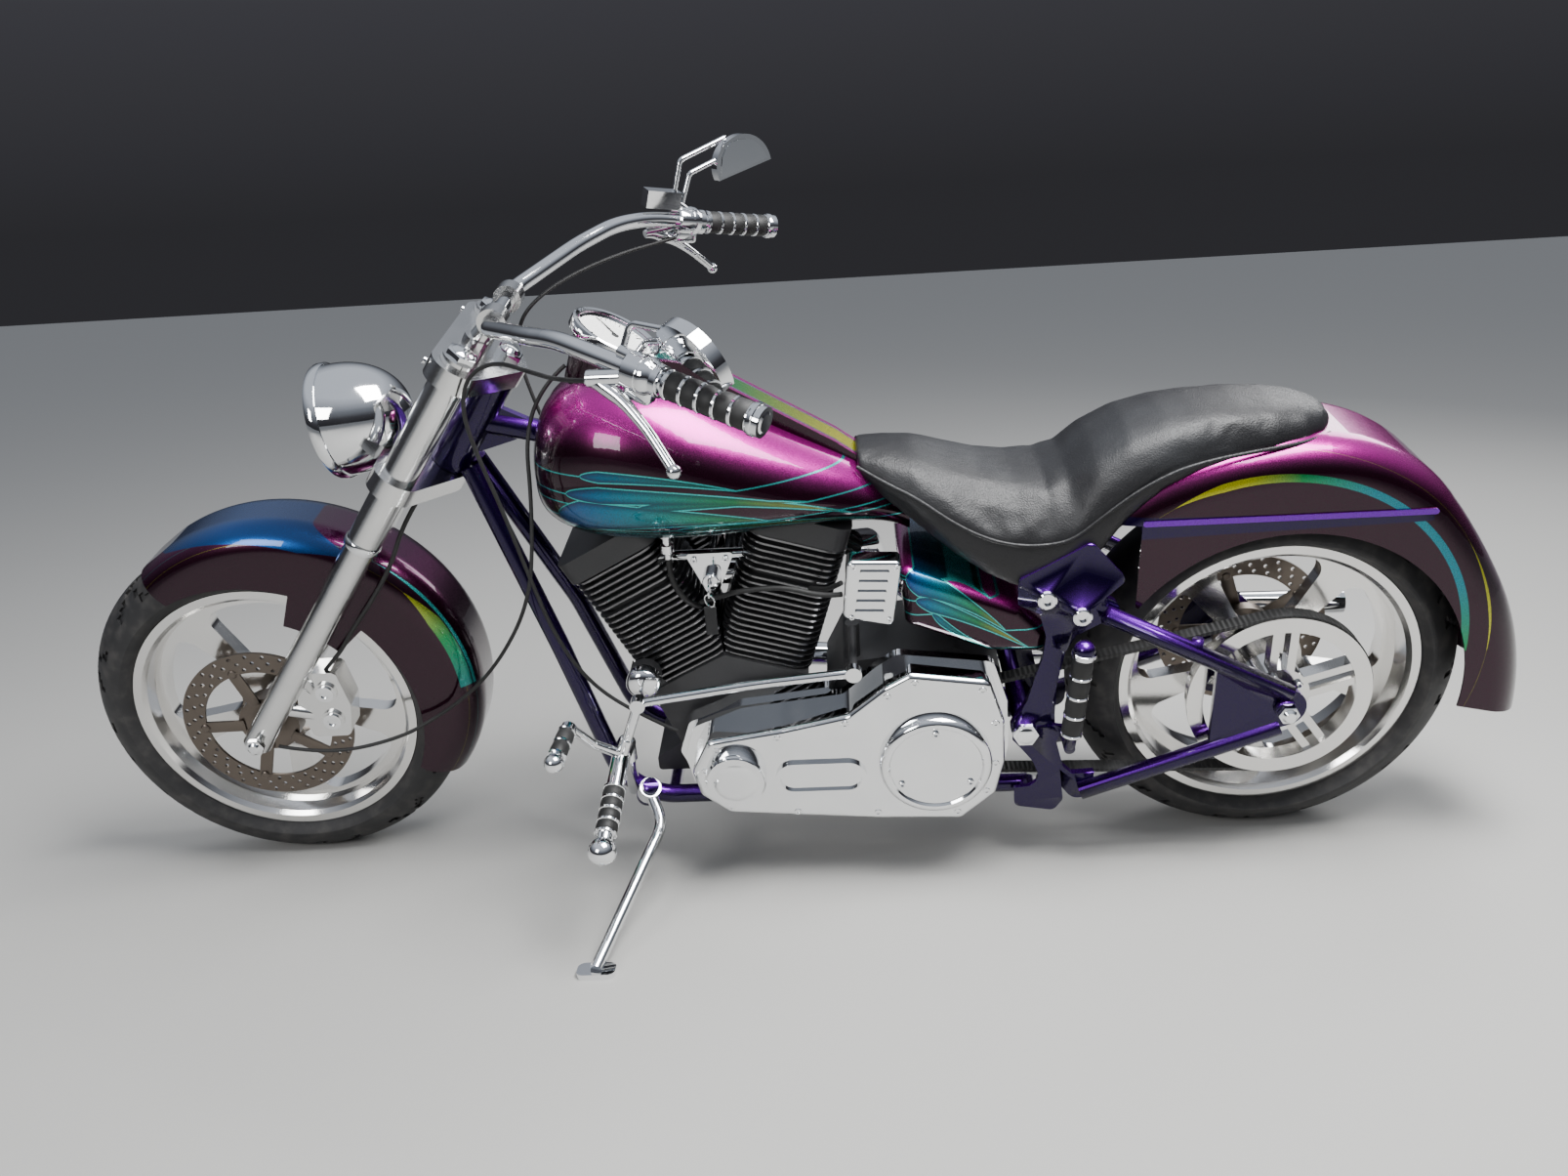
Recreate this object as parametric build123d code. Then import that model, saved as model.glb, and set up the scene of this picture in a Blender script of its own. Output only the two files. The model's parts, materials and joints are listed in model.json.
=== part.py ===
from build123d import *
import math
import os

# Chopper motorcycle parked on its side stand. Millimetres and degrees.
# The machine is drawn upright: X forward, Y to its left, Z up, X = 0 at the rear axle and Z = 0 on the road.
# At the end the steered pieces are turned to where they rest and the whole machine leans onto its stand.

# Stance
WHEELBASE = 1706.0
RAKE = 36.0
LEAN = 11.0
STEER_REST = 1.9
AXLE_LEAD = 55.0
SEAT_GAP = 0.3
SIDE_NAME = {-1: "right", 1: "left"}

# Wheels
RIM_FLANGE_R = 245.0
RIM_BEAD_R = 231.0
RIM_WALL = 7.0
RIM_WELL_DROP = 6.0
RIM_WEB_HALF = 14.0
RIM_WINDOWS = 5
WINDOW_INNER_R = 72.0
WINDOW_RIM = 21.0
WINDOW_SPREAD = 52.0
WINDOW_CORNER = 25.0
REAR_TYRE_R = 324.0
REAR_TYRE_HALF = 92.0
REAR_CROWN_R = 98.0
REAR_RIM_HALF = 72.0
FRONT_TYRE_R = 320.0
FRONT_TYRE_HALF = 65.0
FRONT_CROWN_R = 67.0
FRONT_RIM_HALF = 50.0
AXLE_R = 10.0
HUB_R = 38.0
SPACER_R = 16.0
DISC_R = 146.0
DISC_BAND = 38.0
DISC_THICK = 5.0
DISC_CARRIER_R = 52.0
DISC_ARM = 22.0
FRONT_DISC_Y = 84.0
REAR_DISC_Y = -94.0

# Final drive
PULLEY_LAND_R = 143.5
PULLEY_FLANGE_R = 147.5
PULLEY_BAND = 22.0
PULLEY_SPOKE = 13.0
PULLEY_SPOKE_OFFSET = 14.0
BELT_WIDTH = 26.0
BELT_THICK = 6.0
BELT_INNER_Y = 100.0
DRIVE_PULLEY_R = 70.0
CLUTCH_X = 561.0
CLUTCH_Z = 269.0

# Fork and bars
LEG_SPREAD = 115.0
LEG_OFFSET = 56.0
LEG_R = 27.0
SLIDER_R = 24.0
LEG_CAP = 11.0
LEG_FOOT_W = -22.0
COVER_END_W = 445.0
SLEEVE_START_W = 338.0
LOWER_TREE_W = 575.0
UPPER_TREE_W = 752.0
TREE_THICK = 32.0
TREE_RIM = 12.0
NECK_R = 31.0
STEM_R = 13.0
BAR_R = 12.7
BAR_CLAMP_FORWARD = 42.0
BAR_CLAMP_RISE = 98.0
# Places on the bars are measured from the middle of their clamp: forward, to the left, up
BAR_SHAPE = [(0, 0, 0), (0, 100, 0), (-86, 238, 29), (-142, 306, 42), (-194, 356, 37), (-393, 469, -16)]
BAR_BENDS = [60, 400, 250, 220]
RISER_Y = 60.0
GRIP_R = 17.5
GRIP_CAP_R = 20.0
GRIP_LENGTH = 124.0
PERCH_BACK = 30.0
PERCH_R = 21.0
LEVER_R = 6.5
LEVER = [(-192, 375, 13), (-230, 397, -12), (-264, 427, -48), (-290, 458, -84)]
MIRROR_THICK = 9.0
MIRRORS = {
    # root, elbow and head ends of the two stalk arms, middle of the head, its long direction, the way it faces
    1: [
        [(-230, 372, 37), (-246, 364, 77), (-288, 402, 79)],
        [(-244, 378, 33), (-264, 372, 55), (-300, 408, 65)],
        (-328, 440, 61), (-0.68, 0.67, -0.29), (-0.72, -0.60, 0.33),
    ],
    -1: [
        [(-232, -384, 37), (-256, -400, 123), (-334, -446, 147)],
        [(-246, -388, 33), (-270, -402, 99), (-316, -432, 113)],
        (-358, -460, 113), (-0.80, -0.58, 0.15), (-0.57, 0.80, 0.05),
    ],
}
LAMP_R = 89.0
LAMP_DEPTH = 128.0
LAMP_NOD = 8.0
LAMP_PLACE = (1493.0, 834.0)
LENS_RISE = 26.0

# Fenders
FRONT_FENDER_CENTRE = (-56.0, 52.0)
FRONT_FENDER_R = 318.0
FRONT_FENDER_HALF = 80.0
FRONT_FENDER_ROUND = 52.0
FRONT_ARCH_R = 266.0
FRONT_SKIRT_R = 205.0
FRONT_LUG_W = 236.0
FENDER_WALL = 3.0
REAR_FENDER_HALF = 124.0
REAR_FENDER_ROUND = 62.0
REAR_FENDER_CROWN = [(-405, 250), (-340, 500), (-240, 650), (-40, 757), (330, 640)]
REAR_FENDER_TRIM = [
    (-500, 258), (-400, 264), (-270, 294), (0, 324), (240, 500), (238, 640), (335, 645), (500, 645), (500, 100),
    (-500, 100),
]
REAR_ARCH_R = 292.0
STRUT_LINE = (-200.0, 238.0)
STRUT_Z = 645.0

# Frame
BACKBONE_R = 19.0
BACKBONE_KNEE = (640.0, 668.0)
BACKBONE_BEND = 90.0
RAIL_R = 16.0
RAIL_HALF = 112.0
RAIL_Z = 158.0
RAIL_KNEE = (1172.0, 84.0, 450.0)
RAIL_FRONT_X = 1085.0
PLATE_REACH = 400.0
POST_X = 400.0
POST_Z = 545.0
CROSS_MEMBERS = {"front": 1010.0, "middle": 760.0, "rear": 480.0}
CROSS_R = 12.0
PLATE_Y = 150.0
PLATE_THICK = 8.0
PLATE_OUTLINE = [
    (428, 572), (318, 632), (262, 566), (318, 512), (352, 440), (372, 330), (352, 210), (345, 150), (360, 128),
    (426, 140), (432, 290), (418, 400), (428, 480),
]
PLATE_BOLTS = [(385, 542, 13), (330, 510, 13), (412, 294, 20)]
ARM_R = 15.0
ARM_Y = 156.0
ARM_HEAD_Y = 133.0
ARM_UPPER = (292.0, 508.0)
ARM_LOWER = (318.0, 168.0)
AXLE_PLATE_X = 104.0
AXLE_END = 173.0
PIVOT_X = 412.0
PIVOT_Z = 294.0
PEG_LINE = [(346, 284), (343, 306), (329, 464)]
PEG_Y = {1: 190.0, -1: -246.0}
PEG_R = 15.0

# Engine
CRANK_X = 887.0
CRANK_Z = 256.0
CRANK_CASE_R = 100.0
CASE_HALF = 84.0
VEE = 45.0
VEE_TILT = 5.0
VEE_GAP = 2.5
CYLINDER_BASE = 150.0
BARREL_HEIGHT = 165.0
HEAD_HEIGHT = 70.0
ROCKER_HEIGHT = 40.0
FIN_HALF = 83.0
FIN_SHIFT = 5.0
FIN_SIDE = 78.0
FIN_DEPTH = 14.0
FIN_PITCH = 11.5
FIN_THICK = 3.4
ROCKER_HALF = 84.0
ROCKER_SIDE = 90.0
ROCKER_CLEAR = 3.0
PUSHROD_Y = -89.0
PUSHROD_R = 7.0
MANIFOLD_X = 910.0
MANIFOLD_Z = 520.0
CLEANER_R = 84.0
DOME = (1036.0, 388.0)
DOME_R = 27.0

# Primary drive: side-view outlines of the outer cover, of the case behind it and of its bulge on the engine
PRIMARY_FACE_Y = 198.0
PRIMARY_JOINT_Y = 150.0
PRIMARY_BACK_Y = 132.0
PRIMARY_BULGE_Y = 100.0
PRIMARY_OUTER = [
    (960, 262), (930, 322), (808, 341), (700, 364), (640, 414), (600, 437), (474, 418), (450, 340), (448, 262),
    (462, 200), (519, 149), (657, 154), (905, 176), (950, 215),
]
PRIMARY_INNER = [
    (975, 262), (955, 322), (874, 356), (706, 376), (652, 424), (618, 447), (464, 426), (441, 350), (438, 262),
    (452, 194), (514, 145), (657, 149), (905, 170), (962, 205),
]
PRIMARY_BULGE = [(985, 262), (965, 320), (912, 342), (874, 363), (722, 380), (722, 200), (905, 190), (960, 205)]
DERBY_R = 90.0
DERBY_LIP = 78.0
ENGINE_CAP_R = 47.0
INSPECTION = (748.0, 247.0, 150.0, 62.0)

# Tank, dash, seat and oil tank
TUNNEL_HALF = 25.0
TUNNEL_DEPTH = 170.0
TANK_STATIONS = [
    # x, half width, top z, side z, bottom z
    (1172, 62, 800, 735, 690),
    (1120, 120, 876, 750, 655),
    (980, 160, 886, 765, 640),
    (820, 146, 812, 730, 648),
    (690, 104, 744, 690, 648),
    (588, 60, 668, 645, 615),
]
DASH_LINE = [(1096, 900), (1060, 930), (930, 908), (700, 768), (655, 734), (700, 730)]
DASH_HALF = 34.0
GAUGE_PLACE = (1026.0, 950.0)
GAUGE_NOD = 30.5
GAUGE_PROFILE = [(0, -96), (46, -96), (62, -12), (70, -12), (70, 0), (61, 0), (61, -6), (0, -6)]
SEAT_STATIONS = [
    # x, half width, top z, side z, bottom z
    (668, 62, 762, 735, 700),
    (580, 104, 745, 705, 640),
    (480, 134, 716, 640, 585),
    (390, 146, 705, 610, 560),
]
PILLION_STATIONS = [
    (362, 138, 716, 650, 600),
    (280, 118, 768, 715, 690),
    (160, 96, 796, 768, 748),
    (40, 84, 800, 782, 752),
    (-40, 66, 786, 770, 752),
]
OIL_TANK = [(612, 600), (520, 562), (420, 520), (374, 470), (380, 430), (470, 436), (602, 492)]
OIL_TANK_ROUND = 24.0

# Coil cover and key bracket
COIL_COVER = [(690, 632), (606, 628), (622, 516), (700, 534)]
COIL_COVER_Y = (146.0, 182.0)
LOUVRE_COUNT = 5
LOUVRE_SIZE = (46.0, 7.0)
LOUVRE_RISE = 4.0
KEY_PLATE = [(944, 622), (866, 622), (896, 552), (914, 552)]
KEY_PLATE_Y = (104.0, 111.0)
KEY_PLACE = (905.0, 580.0)

# Exhaust
EXHAUST_Y = -200.0
EXHAUST_R = 22.5
PIPE_BENDS = [36, 60, 115, 300]
EXHAUST_BORE = 20.5
EXHAUST_OPEN = 72.0
FRONT_PIPE = [
    (1108, -30, 545), (1136, -80, 480), (1070, -150, 390), (960, -200, 262), (700, -200, 236), (-40, -200, 232),
]
REAR_PIPE = [
    (684, -30, 560), (655, -96, 530), (640, -160, 460), (560, -200, 345), (200, -200, 318), (-215, -200, 308),
]

# Controls and side stand
HUB = (1063.0, 240.0, 331.0)
PEG_OUT = (1076.0, 400.0, 274.0)
SHIFT_ARM = [(1050, 236, 362), (1026, 232, 424)]
SHIFT_ROD = [(1026, 228, 424), (840, 222, 447), (687, 216, 457)]
TOE_LEVER = [(1070, 246, 346), (1100, 262, 374), (1122, 296, 430), (1131, 378, 423)]
PEDAL_PLACE = (1128.0, -292.0, 428.0)
STAND_PIVOT = (1040.0, 172.0, 212.0)
STAND_FOOT_XY = (1099.0, 464.0)
STAND_R = 10.0
STAND_PAD = 9.0
STAND_EYE_R = 18.0
STAND_EYE_HALF = 13.0
STAND_PIN_R = 8.0

# Cables and hoses: the points of each route, of which the START ones ride on the fork
CABLE_R = 3.2
CLUTCH_START = [(998, 366, 1004), (1060, 300, 984), (1112, 236, 976)]
CLUTCH_ROUTE = [
    (1170, 176, 972), (1218, 162, 948), (1236, 160, 896), (1228, 156, 828), (1206, 146, 720),
    (1188, 138, 610), (1166, 132, 500), (1128, 126, 408), (1066, 118, 340), (990, 116, 292),
]
SPEEDO_START = [(1683, 118, 295), (1636, 120, 283), (1556, 120, 280), (1464, 110, 298), (1412, 98, 322)]
SPEEDO_ROUTE = [
    (1362, 96, 352), (1296, 98, 408), (1230, 110, 500), (1198, 108, 574), (1186, 92, 648), (1182, 66, 724),
    (1182, 46, 790), (1168, 30, 844), (1134, 18, 890), (1109.5, 12, 907),
]
THROTTLE_START = [(930, -392, 998), (982, -376, 990), (1050, -322, 988), (1124, -238, 980)]
THROTTLE_ROUTE = [
    (1180, -176, 966), (1216, -162, 930), (1226, -158, 868), (1204, -146, 780), (1172, -130, 690),
    (1110, -122, 618), (1030, -124, 576), (942, -126, 538),
]
HOSE_ROUTE = [
    (1359, 100, 728), (1388, 104, 690), (1416, 112, 628), (1462, 116, 566), (1506, 116, 514),
    (1530, 112, 480), (1555, 105, 453), (1574, 100, 433.2),
]
HOSE_R = 3.6
GLAND_DEPTH = 30.0
ROUTE_SHARE = 0.45


def turn(vector, axis, angle):
    """Vector turned about an axis direction, by angle degrees."""
    v = Vector(*vector)
    k = Vector(*axis).normalized()
    a = math.radians(angle)
    return v * math.cos(a) + k.cross(v) * math.sin(a) + k * (k.dot(v) * (1 - math.cos(a)))


def torus_drop(axis_z, ring, crown):
    """How far the lowest point of a tyre lies below its axle, for the vertical part of its axle direction."""
    return ring * math.sqrt(1 - axis_z**2) + crown


RAKE_RAD = math.radians(RAKE)
STEER_AXIS = Vector(-math.sin(RAKE_RAD), 0, math.cos(RAKE_RAD))
STEER_NORMAL = Vector(math.cos(RAKE_RAD), 0, math.sin(RAKE_RAD))
REAR_AXLE = Vector(0, 0, REAR_TYRE_R)
UP_WHEN_LEANED = Vector(0, -math.sin(math.radians(LEAN)), math.cos(math.radians(LEAN)))

# Both tyres touch the road while the machine leans and the front wheel is a little turned.
REAR_RING = REAR_TYRE_R - REAR_CROWN_R
FRONT_RING = FRONT_TYRE_R - FRONT_CROWN_R
ROAD_LEVEL = REAR_AXLE.dot(UP_WHEN_LEANED) - torus_drop(UP_WHEN_LEANED.Y, REAR_RING, REAR_CROWN_R)
FRONT_AXLE_DIR = turn((0, 1, 0), STEER_AXIS, STEER_REST)
AXLE_SWING = turn(STEER_NORMAL, STEER_AXIS, STEER_REST) * AXLE_LEAD - STEER_NORMAL * AXLE_LEAD
FRONT_DROP = torus_drop(FRONT_AXLE_DIR.dot(UP_WHEN_LEANED), FRONT_RING, FRONT_CROWN_R)
FRONT_AXLE_Z = (ROAD_LEVEL + FRONT_DROP - AXLE_SWING.dot(UP_WHEN_LEANED)) / UP_WHEN_LEANED.Z
FRONT_AXLE = Vector(WHEELBASE, 0, FRONT_AXLE_Z)
STEER_FOOT = FRONT_AXLE - STEER_NORMAL * AXLE_LEAD

BELT_OUTER_Y = BELT_INNER_Y + BELT_WIDTH
HEAD_BASE = CYLINDER_BASE + BARREL_HEIGHT
ROCKER_BASE = HEAD_BASE + HEAD_HEIGHT
PLATE_INNER = PLATE_Y - PLATE_THICK / 2


def fork(forward, side, up):
    """Point of the fork: forward of the steering axis, to the left, and up along it from the axle."""
    return STEER_FOOT + STEER_NORMAL * forward + STEER_AXIS * up + Vector(0, side, 0)


def road_z(y):
    """Height of the road beside the upright machine, as it will lie once the machine leans."""
    return (ROAD_LEVEL - y * UP_WHEN_LEANED.Y) / UP_WHEN_LEANED.Z


BAR_CLAMP = fork(BAR_CLAMP_FORWARD, 0, UPPER_TREE_W + BAR_CLAMP_RISE)
STAND_DEPLOYED = (Vector(*STAND_FOOT_XY, road_z(STAND_FOOT_XY[1])) - Vector(*STAND_PIVOT)).normalized()
STAND_FOLDED = Vector(-0.90, 0.15, -0.41).normalized()
STAND_AXIS = STAND_DEPLOYED.cross(STAND_FOLDED).normalized()


def rod(start, end, radius):
    """Round bar between two points."""
    a = Vector(*start)
    b = Vector(*end)
    plane = Plane(origin=a, z_dir=b - a)
    return extrude(plane * Circle(radius), amount=(b - a).length)


def hollow_rod(start, end, radius, bore):
    """Round bar with a hole along it."""
    a = Vector(*start)
    b = Vector(*end)
    plane = Plane(origin=a, z_dir=b - a)
    return extrude(plane * (Circle(radius) - Circle(bore)), amount=(b - a).length)


def pipe(points, bends, radius):
    """Bent tube: straight runs joined by arcs, one bend radius for each inner point."""
    path = FilletPolyline(*[Vector(*p) for p in points], radius=bends)
    start = Plane(origin=path @ 0, z_dir=path % 0)
    return sweep(start * Circle(radius), path=path)


def cord(points, radius):
    """Cable along a route, with each bend as wide as the runs beside it allow."""
    spots = [Vector(*p) for p in points]
    bends = []
    for before, here, after in zip(spots, spots[1:], spots[2:]):
        turned = math.radians((here - before).get_angle(after - here))
        shorter = min((here - before).length, (after - here).length)
        bends.append(ROUTE_SHARE * shorter / math.tan(turned / 2))
    print("bends", [round(b) for b in bends])
    return pipe(points, bends, radius)


def side_plane(y):
    """Drawing plane of a side view: its x is X and its y is Z, and it is extruded towards the right side."""
    return Plane(origin=(0, y, 0), x_dir=(1, 0, 0), z_dir=(0, -1, 0))


def slab(face, low_y, high_y):
    """Side-view face given a thickness from low_y to high_y."""
    return extrude(side_plane(high_y) * face, amount=high_y - low_y, dir=(0, -1, 0))


def outline(points, corner):
    """Closed polygon face with all corners rounded."""
    face = Polygon(*points, align=None)
    return fillet(face.vertices(), corner) if corner else face


def hull(circles):
    """Face round circles given as x, z and radius."""
    return make_hull([Pos(x, z) * Circle(r).edge() for x, z, r in circles])


def wheel_ring(profile, centre):
    """Body of revolution about a wheel's axle from (radius, y) points."""
    face = make_face(Polyline(*profile, close=True))
    plane = Plane(origin=centre, x_dir=(1, 0, 0), z_dir=(0, 0, 1))
    return revolve(plane * face, axis=Axis(centre, (0, 1, 0)))


def spun(profile, origin, direction):
    """Body of revolution: the profile's x is the radius, its y runs along the direction from the origin."""
    a = Vector(*direction).normalized()
    side = Vector(0, 0, 1).cross(a) if abs(a.Z) < 0.9 else Vector(1, 0, 0).cross(a)
    side = side.normalized()
    plane = Plane(origin=origin, x_dir=side, z_dir=side.cross(a))
    return plane.location * revolve(profile, axis=Axis.Y)


def largest(shape):
    """Biggest solid of a cut piece."""
    return max(shape.solids(), key=lambda solid: solid.volume)


def side_disc(centre, radius, low_y, high_y):
    """Round plate in side view."""
    return rod((centre.X, low_y, centre.Z), (centre.X, high_y, centre.Z), radius)


def span(side, near, far):
    """The two y values near and far from the middle, on a side, the lower first."""
    return sorted((side * near, side * far))


def at_wheel(centre, face, low_y, high_y):
    """Slab of a face that is drawn about a wheel's centre."""
    return Pos(centre.X, 0, centre.Z) * slab(face, low_y, high_y)


def axle_hole(centre, low_y, high_y):
    """What an axle's running clearance takes out of a hub."""
    return side_disc(centre, AXLE_R + SEAT_GAP, low_y - 1, high_y + 1)


def tyre(centre, outer, half, crown, rim_half):
    """Tyre with a round crown, bulging walls and beads against the rim flanges."""
    edge_y = half * 0.97
    edge_r = outer - crown + math.sqrt(crown**2 - edge_y**2)
    bead_y = rim_half - RIM_WALL - SEAT_GAP
    bead_r = RIM_BEAD_R + SEAT_GAP
    lip_r = RIM_FLANGE_R + SEAT_GAP
    lip_y = rim_half - RIM_WALL + 2 - SEAT_GAP
    side_r = (edge_r + lip_r) / 2
    low_side = [(lip_r, -rim_half), (lip_r, -lip_y), (bead_r, -bead_y)]
    seat = Polyline(*low_side, *[(r, -y) for r, y in low_side[::-1]])
    wire = Wire(
        [
            ThreePointArc((edge_r, edge_y), (outer, 0), (edge_r, -edge_y)),
            ThreePointArc((edge_r, -edge_y), (side_r, -half), (lip_r, -rim_half)),
            ThreePointArc((lip_r, rim_half), (side_r, half), (edge_r, edge_y)),
        ]
        + seat.edges()
    )
    plane = Plane(origin=centre, x_dir=(1, 0, 0), z_dir=(0, 0, 1))
    return revolve(plane * make_face(wire), axis=Axis(centre, (0, 1, 0)))


def rim_window(inner_r, outer_r, spread, corner):
    """Fan-shaped opening of a wheel, centred on the X axis of its plane."""
    low = math.radians(spread / 2)
    wide = math.radians(spread / 2 * 1.06)
    a = (inner_r * math.cos(low), inner_r * math.sin(low))
    b = (outer_r * math.cos(wide), outer_r * math.sin(wide))
    wire = Wire(
        [
            Line(a, b),
            ThreePointArc(b, (outer_r, 0), (b[0], -b[1])),
            Line((b[0], -b[1]), (a[0], -a[1])),
            ThreePointArc((a[0], -a[1]), (inner_r, 0), a),
        ]
    )
    face = make_face(wire)
    return fillet(face.vertices(), corner)


def rim(centre, half):
    """Billet wheel: stepped barrel, five wide windows between flat spokes, and a hub."""
    well_r = RIM_BEAD_R - RIM_WALL
    shelf = half * 0.45
    half_profile = [
        (RIM_BEAD_R, half - RIM_WALL),
        (RIM_FLANGE_R, half - RIM_WALL + 2),
        (RIM_FLANGE_R, half),
        (RIM_BEAD_R, half),
        (well_r, half - RIM_WALL),
        (well_r - RIM_WELL_DROP, shelf),
    ]
    barrel = wheel_ring([(r, -y) for r, y in half_profile] + half_profile[::-1], centre)
    face = Circle(well_r)
    for i in range(RIM_WINDOWS):
        window = rim_window(WINDOW_INNER_R, well_r - WINDOW_RIM, WINDOW_SPREAD, WINDOW_CORNER)
        face -= Rot(0, 0, 90 + i * 360 / RIM_WINDOWS) * window
    web = at_wheel(centre, face, -RIM_WEB_HALF, RIM_WEB_HALF)
    hub = side_disc(centre, HUB_R, -half, half)
    return barrel + web + hub - axle_hole(centre, -half, half)


def brake_disc(centre, y, hub_face):
    """Brake rotor with five arms to its carrier, and the boss that bolts it to the hub."""
    face = Circle(DISC_R) - Circle(DISC_R - DISC_BAND)
    arm_length = DISC_R - DISC_CARRIER_R - 14
    arm = Pos((DISC_R + DISC_CARRIER_R) / 2 - DISC_ARM, 0) * Rectangle(arm_length, DISC_ARM)
    face = face + (Circle(DISC_CARRIER_R) - Circle(AXLE_R + 8)) + [Rot(0, 0, 72 * i) * arm for i in range(5)]
    disc = at_wheel(centre, face, y - DISC_THICK / 2, y + DISC_THICK / 2)
    near = math.copysign(DISC_THICK / 2, hub_face - y)
    low, high = sorted((hub_face, y + near))
    return disc + (side_disc(centre, DISC_CARRIER_R - 2, low, high) - axle_hole(centre, low, high))


def rear_wheel_pieces():
    """Tyre, rim, brake disc and belt pulley of the rear wheel."""
    band = Circle(PULLEY_LAND_R) - Circle(PULLEY_LAND_R - PULLEY_BAND)
    spokes = []
    for i in range(RIM_WINDOWS):
        for offset in (-PULLEY_SPOKE_OFFSET, PULLEY_SPOKE_OFFSET):
            spokes.append(Rot(0, 0, 90 + 72 * i) * Pos(80, offset) * Rectangle(100, PULLEY_SPOKE))
    face = band + spokes + (Circle(50) - Circle(AXLE_R + 8))
    pulley = at_wheel(REAR_AXLE, face, BELT_INNER_Y, BELT_OUTER_Y)
    flange = Circle(PULLEY_FLANGE_R) - Circle(PULLEY_LAND_R - PULLEY_BAND)
    pulley += at_wheel(REAR_AXLE, flange, BELT_OUTER_Y + SEAT_GAP, BELT_OUTER_Y + 5)
    pulley += at_wheel(REAR_AXLE, band, BELT_OUTER_Y - 1, BELT_OUTER_Y + 1)
    boss = side_disc(REAR_AXLE, 50, REAR_RIM_HALF, BELT_INNER_Y)
    boss -= axle_hole(REAR_AXLE, REAR_RIM_HALF, BELT_INNER_Y)
    return {
        "rear_tyre": tyre(REAR_AXLE, REAR_TYRE_R, REAR_TYRE_HALF, REAR_CROWN_R, REAR_RIM_HALF),
        "rear_rim": rim(REAR_AXLE, REAR_RIM_HALF),
        "rear_disc": brake_disc(REAR_AXLE, REAR_DISC_Y, -REAR_RIM_HALF),
        "rear_pulley": pulley + boss,
    }


def front_wheel_pieces():
    """Tyre, rim and brake disc of the front wheel, on the left side as the single disc is."""
    return {
        "front_tyre": tyre(FRONT_AXLE, FRONT_TYRE_R, FRONT_TYRE_HALF, FRONT_CROWN_R, FRONT_RIM_HALF),
        "front_rim": rim(FRONT_AXLE, FRONT_RIM_HALF),
        "front_disc": brake_disc(FRONT_AXLE, FRONT_DISC_Y, FRONT_RIM_HALF),
    }


def bar_half(sign):
    """Centre line of half the handlebar, from the clamp to the end of its grip."""
    return [BAR_CLAMP + Vector(x, sign * y, z) for x, y, z in BAR_SHAPE]


def grip_line(side):
    """Outer end of the bar and its direction there."""
    bend, end = bar_half(side)[-2:]
    return end, (end - bend).normalized()


def fork_legs():
    """Both legs with their covers; the right one carries the front axle and the left one is bored for it."""
    pieces = {}
    for side in (-1, 1):
        y = side * LEG_SPREAD
        leg = rod(fork(LEG_OFFSET, y, LEG_FOOT_W), fork(LEG_OFFSET, y, SLEEVE_START_W), SLIDER_R)
        leg += rod(fork(LEG_OFFSET, y, SLEEVE_START_W), fork(LEG_OFFSET, y, COVER_END_W), SLIDER_R + 1)
        top = fork(LEG_OFFSET, y, UPPER_TREE_W + TREE_THICK + LEG_CAP)
        leg += rod(fork(LEG_OFFSET, y, COVER_END_W), top, LEG_R)
        inner = FRONT_RIM_HALF + 1 if side < 0 else FRONT_DISC_Y + DISC_THICK / 2 + 1
        reach = LEG_SPREAD - SLIDER_R + 3
        leg += rod(fork(AXLE_LEAD, side * inner, 0), fork(AXLE_LEAD, side * reach, 0), SPACER_R)
        pieces["fork_leg_" + SIDE_NAME[side]] = leg
    pieces["fork_leg_right"] += rod(fork(AXLE_LEAD, -LEG_SPREAD, 0), fork(AXLE_LEAD, 147, 0), AXLE_R)
    pieces["fork_leg_left"] -= rod(fork(AXLE_LEAD, 60, 0), fork(AXLE_LEAD, 160, 0), AXLE_R + SEAT_GAP)
    return pieces


def fork_tree(w):
    """Clamp plate that joins both legs to the steering axis, from w upwards."""
    plane = Plane(origin=fork(0, 0, w), x_dir=STEER_NORMAL, z_dir=STEER_AXIS)
    legs = [Pos(LEG_OFFSET, side * LEG_SPREAD) * Circle(LEG_R + TREE_RIM).edge() for side in (-1, 1)]
    tree = extrude(plane * make_hull(legs + [Circle(NECK_R + 4).edge()]), amount=TREE_THICK)
    for side in (-1, 1):
        low = fork(LEG_OFFSET, side * LEG_SPREAD, w - 5)
        tree -= rod(low, low + STEER_AXIS * (TREE_THICK + 10), LEG_R + SEAT_GAP)
    return tree


def handlebar_pieces():
    """Bars with grips, risers on the upper tree, levers and mirrors."""
    upper = fork_tree(UPPER_TREE_W)
    bars = pipe(bar_half(1), BAR_BENDS, BAR_R) + pipe(bar_half(-1), BAR_BENDS, BAR_R)
    pieces = {}
    for side in (-1, 1):
        foot = fork(LEG_OFFSET - 6, side * RISER_Y, UPPER_TREE_W + TREE_THICK)
        top = BAR_CLAMP + Vector(0, side * RISER_Y, 0)
        across = Vector(0, 1, 0)
        riser = rod(foot, foot + STEER_AXIS * 30, 20) + rod(foot + STEER_AXIS * 20, top, 15)
        riser += rod(top - across * 17, top + across * 17, BAR_R + 9)
        upper += riser - rod(top - across * 30, top + across * 30, BAR_R + SEAT_GAP)
        end, along = grip_line(side)
        bars += rod(end - along * GRIP_LENGTH, end + along * 4, GRIP_R)
        bars += rod(end, end + along * 16, GRIP_CAP_R)
        pieces["control_" + SIDE_NAME[side]] = control(side)
    pieces["upper_tree"] = upper
    pieces["handlebar"] = bars
    return pieces


def gland_bore(end, beyond, radius):
    """Bore that takes the end of a cable or hose, open towards its next point."""
    out = (beyond - end).normalized()
    return rod(end - out * SEAT_GAP, end + out * GLAND_DEPTH, radius + SEAT_GAP)


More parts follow.
